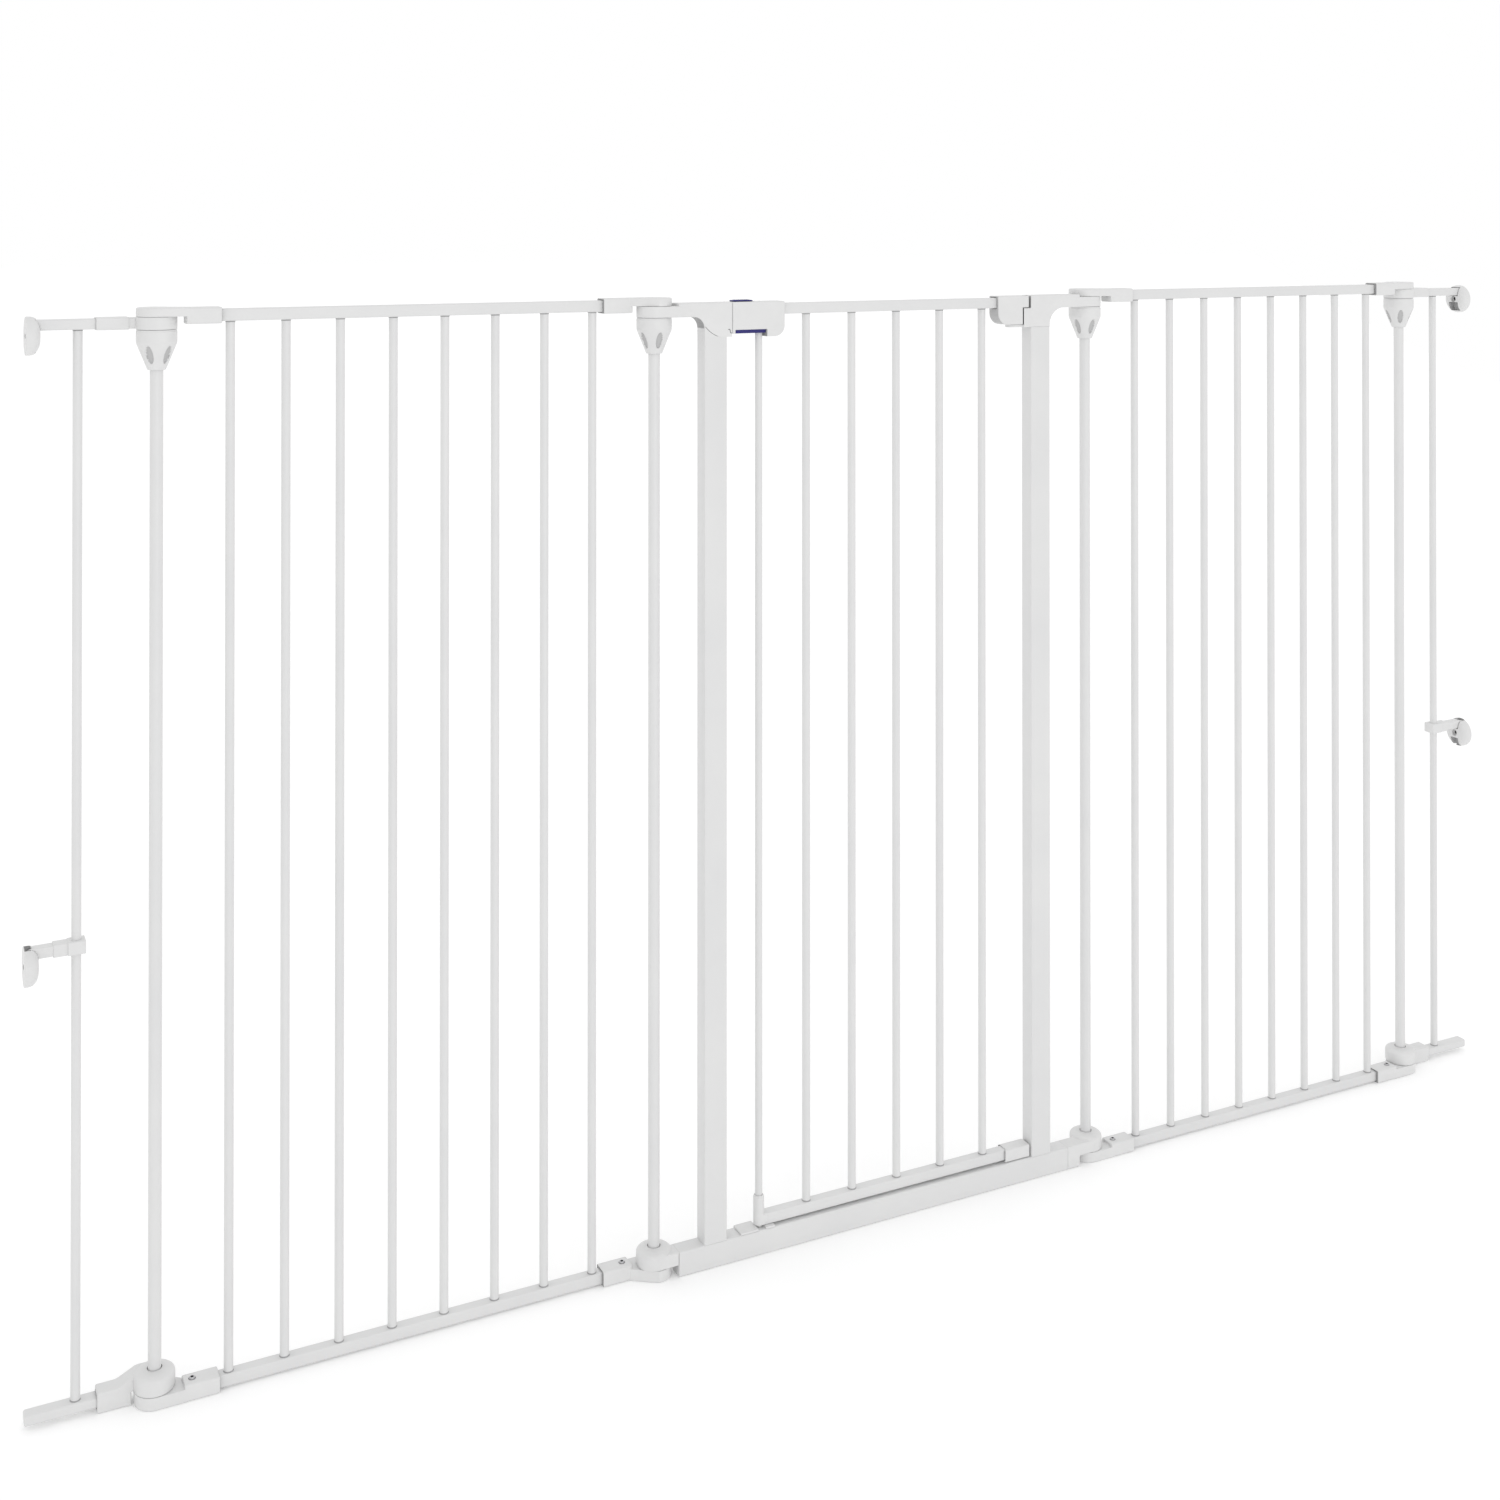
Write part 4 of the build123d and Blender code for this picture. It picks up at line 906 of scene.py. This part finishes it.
def latch_housing():
    """Latch housing: a deep right part with a round corner, and a skirt over the lift trigger."""
    low, high = span("latch_housing")
    trigger_low, trigger_high = span("lift_trigger")
    step = trigger_high[0] + 0.1 * MM
    skirt = high[2] - 30.3 * MM
    wall = trigger_low[0] - 0.1 * MM
    corners = [(low[0], trigger_low[2]), (low[0], high[2]), (high[0], high[2]), (high[0], low[2]),
               (step, low[2]), (step, skirt), (wall, skirt), (wall, trigger_low[2])]
    body = slab(outline(corners, np.array([0.9, 1.2, 1.2, 12, 1, 0.3, 0.3, 0.5]) * MM, 13), -frame_half,
                frame_half, 1.4 * MM, "xz")
    room = box_tool((wall, trigger_low[1] - 0.1 * MM, skirt - 1 * MM),
                    (step, trigger_high[1] + 0.1 * MM, trigger_high[2] + 14 * MM), 0.3 * MM)
    slider_left = span("thumb_slider")[0][0]
    slot = box_tool((slider_left + 11.5 * MM, -3.2 * MM, high[2] - 8 * MM),
                    (slider_left + 27.5 * MM, 3.2 * MM, high[2] + past), 0.3 * MM)
    piece = moulding("latch_housing_moulding", plastic_white, [body],
                     [room, slot] + rail_pocket("door_top_rail", high[0], 1, 12 * MM, (0.8 * MM, 0.8 * MM)),
                     plastic_shade)
    # the wall at the step, beside the rod, gets a darker finish: painted shade
    faces_where(piece, lambda at, normal: (abs(at[0] - step) < 1 * MM) & (at[2] < skirt)
                & (normal[0] < -0.5), plastic_painted_side_shade)
    return dressed(piece, "latch_housing")


def thumb_slider():
    """Thumb slider: a low pad with cross ribs, on a stem."""
    low, high = span("thumb_slider")
    pad_low = housing_top + running_gap
    rib_height = 0.4 * MM
    pad = slab(rectangle((low[0], low[1]), (low[0] + 24 * MM, high[1]), 1.6 * MM), pad_low,
               high[2] - rib_height, 0.7 * MM)
    stem = slab(rectangle((low[0] + 12 * MM, -3 * MM), (low[0] + 19 * MM, 3 * MM), 0.5 * MM),
                high[2] - 10 * MM, pad_low + 1 * MM, 0.2 * MM)
    ribs = [slab(rectangle((x - 0.55 * MM, low[1] + 1.4 * MM), (x + 0.55 * MM, high[1] - 1.4 * MM), 0.5 * MM),
                 pad_low + 1 * MM, high[2], 0.4 * MM) for x in low[0] + np.arange(4, 21, 2.3) * MM]
    piece = moulding("thumb_slider_pad", plastic_navy, [pad, stem] + ribs)
    return dressed(piece, "thumb_slider", slot="navy_plastic")


def lift_trigger():
    """Lift trigger: a bar with a rounded lower edge, and the seat of the rod."""
    low, high = span("lift_trigger")
    body = slab(rectangle((low[1], low[2]), (high[1], high[2]), 1.2 * MM), low[0], high[0], 0.8 * MM, "yz")
    piece = moulding("lift_trigger_bar", plastic_navy, [body],
                     [bore(rod_x, 0, low[2] - past, rod_high[2], rod_r + 0.05 * MM)])
    return dressed(piece, "lift_trigger", slot="navy_plastic")


for make in (door_elbow, lock_rod, door_hinge_sleeve, door_hinge_housing, latch_housing, thumb_slider,
             lift_trigger):
    make()


# ---------------------------------------------------------------- wall fittings
socket_play = 0.7 * MM          # round the rail or arm that a pad holds
thick_arm_reach = 21 * MM       # thicker stretch of the middle arm, from the end bar
end_rail = np.ptp(span("left_end_top_rail"), axis=0)[1:] / 2    # halves of what a pad holds
half_arm = (5.5 * MM, 5 * MM)   # half width and half height of the arm's thinner stretch


def wall_pad(name, inward, half, offset):
    """Domed round pad on the wall: a counterbored screw hole between two sockets, one of them in use.

    From the rim to the screw hole the dome rises as rim + (height - rim) sin(t)^0.8 while its radius
    falls as hole + (a - hole) cos(t)^0.9.
    """
    low, high = span(name)
    wall = low[0] if inward > 0 else high[0]
    y, z = (low[1:] + high[1:]) / 2
    a, height, rim, hole = (high[2] - low[2]) / 2, high[0] - low[0], 3 * MM, 4 * MM
    turn = np.linspace(0, math.pi / 2, 14)
    dome = np.stack([hole + 0.6 * MM + (a - hole - 0.6 * MM) * np.cos(turn) ** 0.9,
                     rim + (height - rim) * np.sin(turn) ** 0.8], 1).tolist()
    section = ([(2.5 * MM, 0), (a - 0.3 * MM, 0), (a, 0.3 * MM)] + dome
               + [(hole + 0.2 * MM, height - 0.2 * MM), (hole, height - 0.7 * MM), (hole, height - 4 * MM),
                  (2.5 * MM, height - 4 * MM)])
    section = np.array(section) * (1, inward)
    first, last = sorted((wall + inward * 3 * MM, wall + inward * (height + 1 * MM)))
    half_y, half_z = np.array(half) + socket_play
    sockets = [box_tool((first, y - half_y, z + middle_z - half_z), (last, y + half_y, z + middle_z + half_z),
                        0.6 * MM) for middle_z in (offset, -offset)]
    # the socket walls get a darker finish: painted soft shade round what the pad holds
    piece = moulding(f"{name}_dome", plastic_white, [turned(section, (wall, y, z), "yz", 96)], sockets,
                     plastic_painted_soft_shade)
    # the bore of the screw hole gets the near-black finish: painted shade inside the hole
    faces_where(piece, lambda at, _: (np.hypot(at[1] - y, at[2] - z) < 2.6 * MM)
                & (inward * (at[0] - wall) > 2 * MM), hole_shade)
    # faces round the top of the socket in use get the dark finish: painted shade round the held rail or arm
    faces_where(piece, lambda at, normal: (at[2] > z) & (np.abs(normal[0]) < 0.3)
                & (np.abs(at[1] - y) < half_y + socket_play)
                & (np.abs(at[2] - z - offset) < half_z + socket_play), plastic_shade)
    return dressed(piece, name)


def mid_arm(name, inward):
    """Stepped arm from the middle pad to a clamp round the end bar."""
    node = f"{name}_mid_arm"
    low, high = span(node)
    bar_x, y, _ = middle(f"{name}_bar")
    z = (low[2] + high[2]) / 2
    root = low[0] if inward > 0 else high[0]
    step = bar_x - inward * thick_arm_reach

    def length(start, end, half_y, half_z, radius):
        """Straight stretch of the arm."""
        first, last = sorted((start, end))
        return slab(rectangle((y - half_y, z - half_z), (y + half_y, z + half_z), radius), first, last,
                    0.7 * MM, "yz")

    shells = [length(root, bar_x, *half_arm, 1.2 * MM),
              length(step, bar_x, 6.5 * MM, 6 * MM, 1.4 * MM),
              length(bar_x - 8 * MM, bar_x + 8 * MM, 8 * MM, 6.3 * MM, 1.6 * MM)]
    piece = moulding(f"{name}_stepped_arm", plastic_white, shells,
                     [bore(bar_x, y, low[2] - past, high[2] + 1 * MM, 4.5 * MM)], plastic_shade)
    return dressed(piece, node)


for name, inward in (("left_end", 1), ("right_end", -1)):
    for place, held, half in (("top", "top_rail", end_rail), ("mid", "mid_arm", half_arm)):
        offset = middle(f"{name}_{held}")[2] - middle(f"{name}_{place}_pad")[2]
        wall_pad(f"{name}_{place}_pad", inward, half, offset)
    mid_arm(name, inward)

for node in ("hinge_pins", "latch_springs"):
    for place in frame["nodes"][node].material_slots:
        place.material = steel_bare


# ---------------------------------------------------------------- studio
def stage_floor():
    """Plain pale floor, dished up far behind the gate: z = 0.9 (s^2) m over the last stretch s."""
    along = np.linspace(-7, 7, 57)
    away = np.linspace(-6, 7, 53)
    x, y = np.meshgrid(along, away)
    rise = np.clip((y - 3) / 4, 0, 1)
    vertices = np.stack([x, y, 0.9 * rise ** 2 - 0.2 * MM], -1).reshape(-1, 3)
    rows, columns = x.shape
    row, column = np.meshgrid(np.arange(rows - 1), np.arange(columns - 1), indexing="ij")
    first = row * columns + column
    faces = np.stack([first, first + 1, first + columns + 1, first + columns], -1).reshape(-1, 4)
    mesh = bpy.data.meshes.new("studio_floor")
    mesh.from_pydata(vertices.tolist(), [], faces.tolist())
    floor = bpy.data.objects.new("studio_floor", mesh)
    bpy.context.scene.collection.objects.link(floor)
    finish, tree, surface, place = shader("pale studio floor", Roughness=0.9, Emission_Strength=0.12,
                                          Emission_Color=(1, 1, 1, 1))
    cloud = texture(tree, "ShaderNodeTexNoise", place, 3, Detail=2)
    tinted(tree, cloud.outputs["Fac"], (0.92, 0.92, 0.92), (0.94, 0.94, 0.94), surface.inputs["Base Color"])
    mesh.materials.append(finish)


def soft_lamp(name, place, target, size, power):
    """Large square lamp turned to a target."""
    lamp = bpy.data.lights.new(name, "AREA")
    lamp.shape = "SQUARE"
    lamp.size = size
    lamp.energy = power
    holder = bpy.data.objects.new(name, lamp)
    bpy.context.scene.collection.objects.link(holder)
    holder.location = place
    holder.rotation_euler = (Vector(target) - Vector(place)).to_track_quat("-Z", "Y").to_euler()


def camera():
    """Nearly level camera to the left of the gate, with its frame shifted down to keep uprights upright."""
    data = bpy.data.cameras.new("camera")
    data.lens = 44.44
    data.sensor_width = 36
    data.shift_y = -0.3635
    data.clip_start, data.clip_end = 0.05, 60
    holder = bpy.data.objects.new("camera", data)
    bpy.context.scene.collection.objects.link(holder)
    holder.location = (-0.7853, -1.8145, 1.1277)
    holder.rotation_euler = (math.radians(90.37), 0, math.radians(-26.262))
    bpy.context.scene.camera = holder


def daylight():
    """Even white surroundings."""
    world = bpy.data.worlds.new("white studio")
    bpy.context.scene.world = world
    world.use_nodes = True
    world.node_tree.nodes["Background"].inputs["Color"].default_value = (1, 1, 1, 1)
    world.node_tree.nodes["Background"].inputs["Strength"].default_value = 1.0


stage_floor()
daylight()
soft_lamp("front lamp", (0.1, -4.2, 0.7), (0.25, 0, 0.6), 2.2, 17)
camera()
bpy.context.scene.view_settings.view_transform = "Standard"
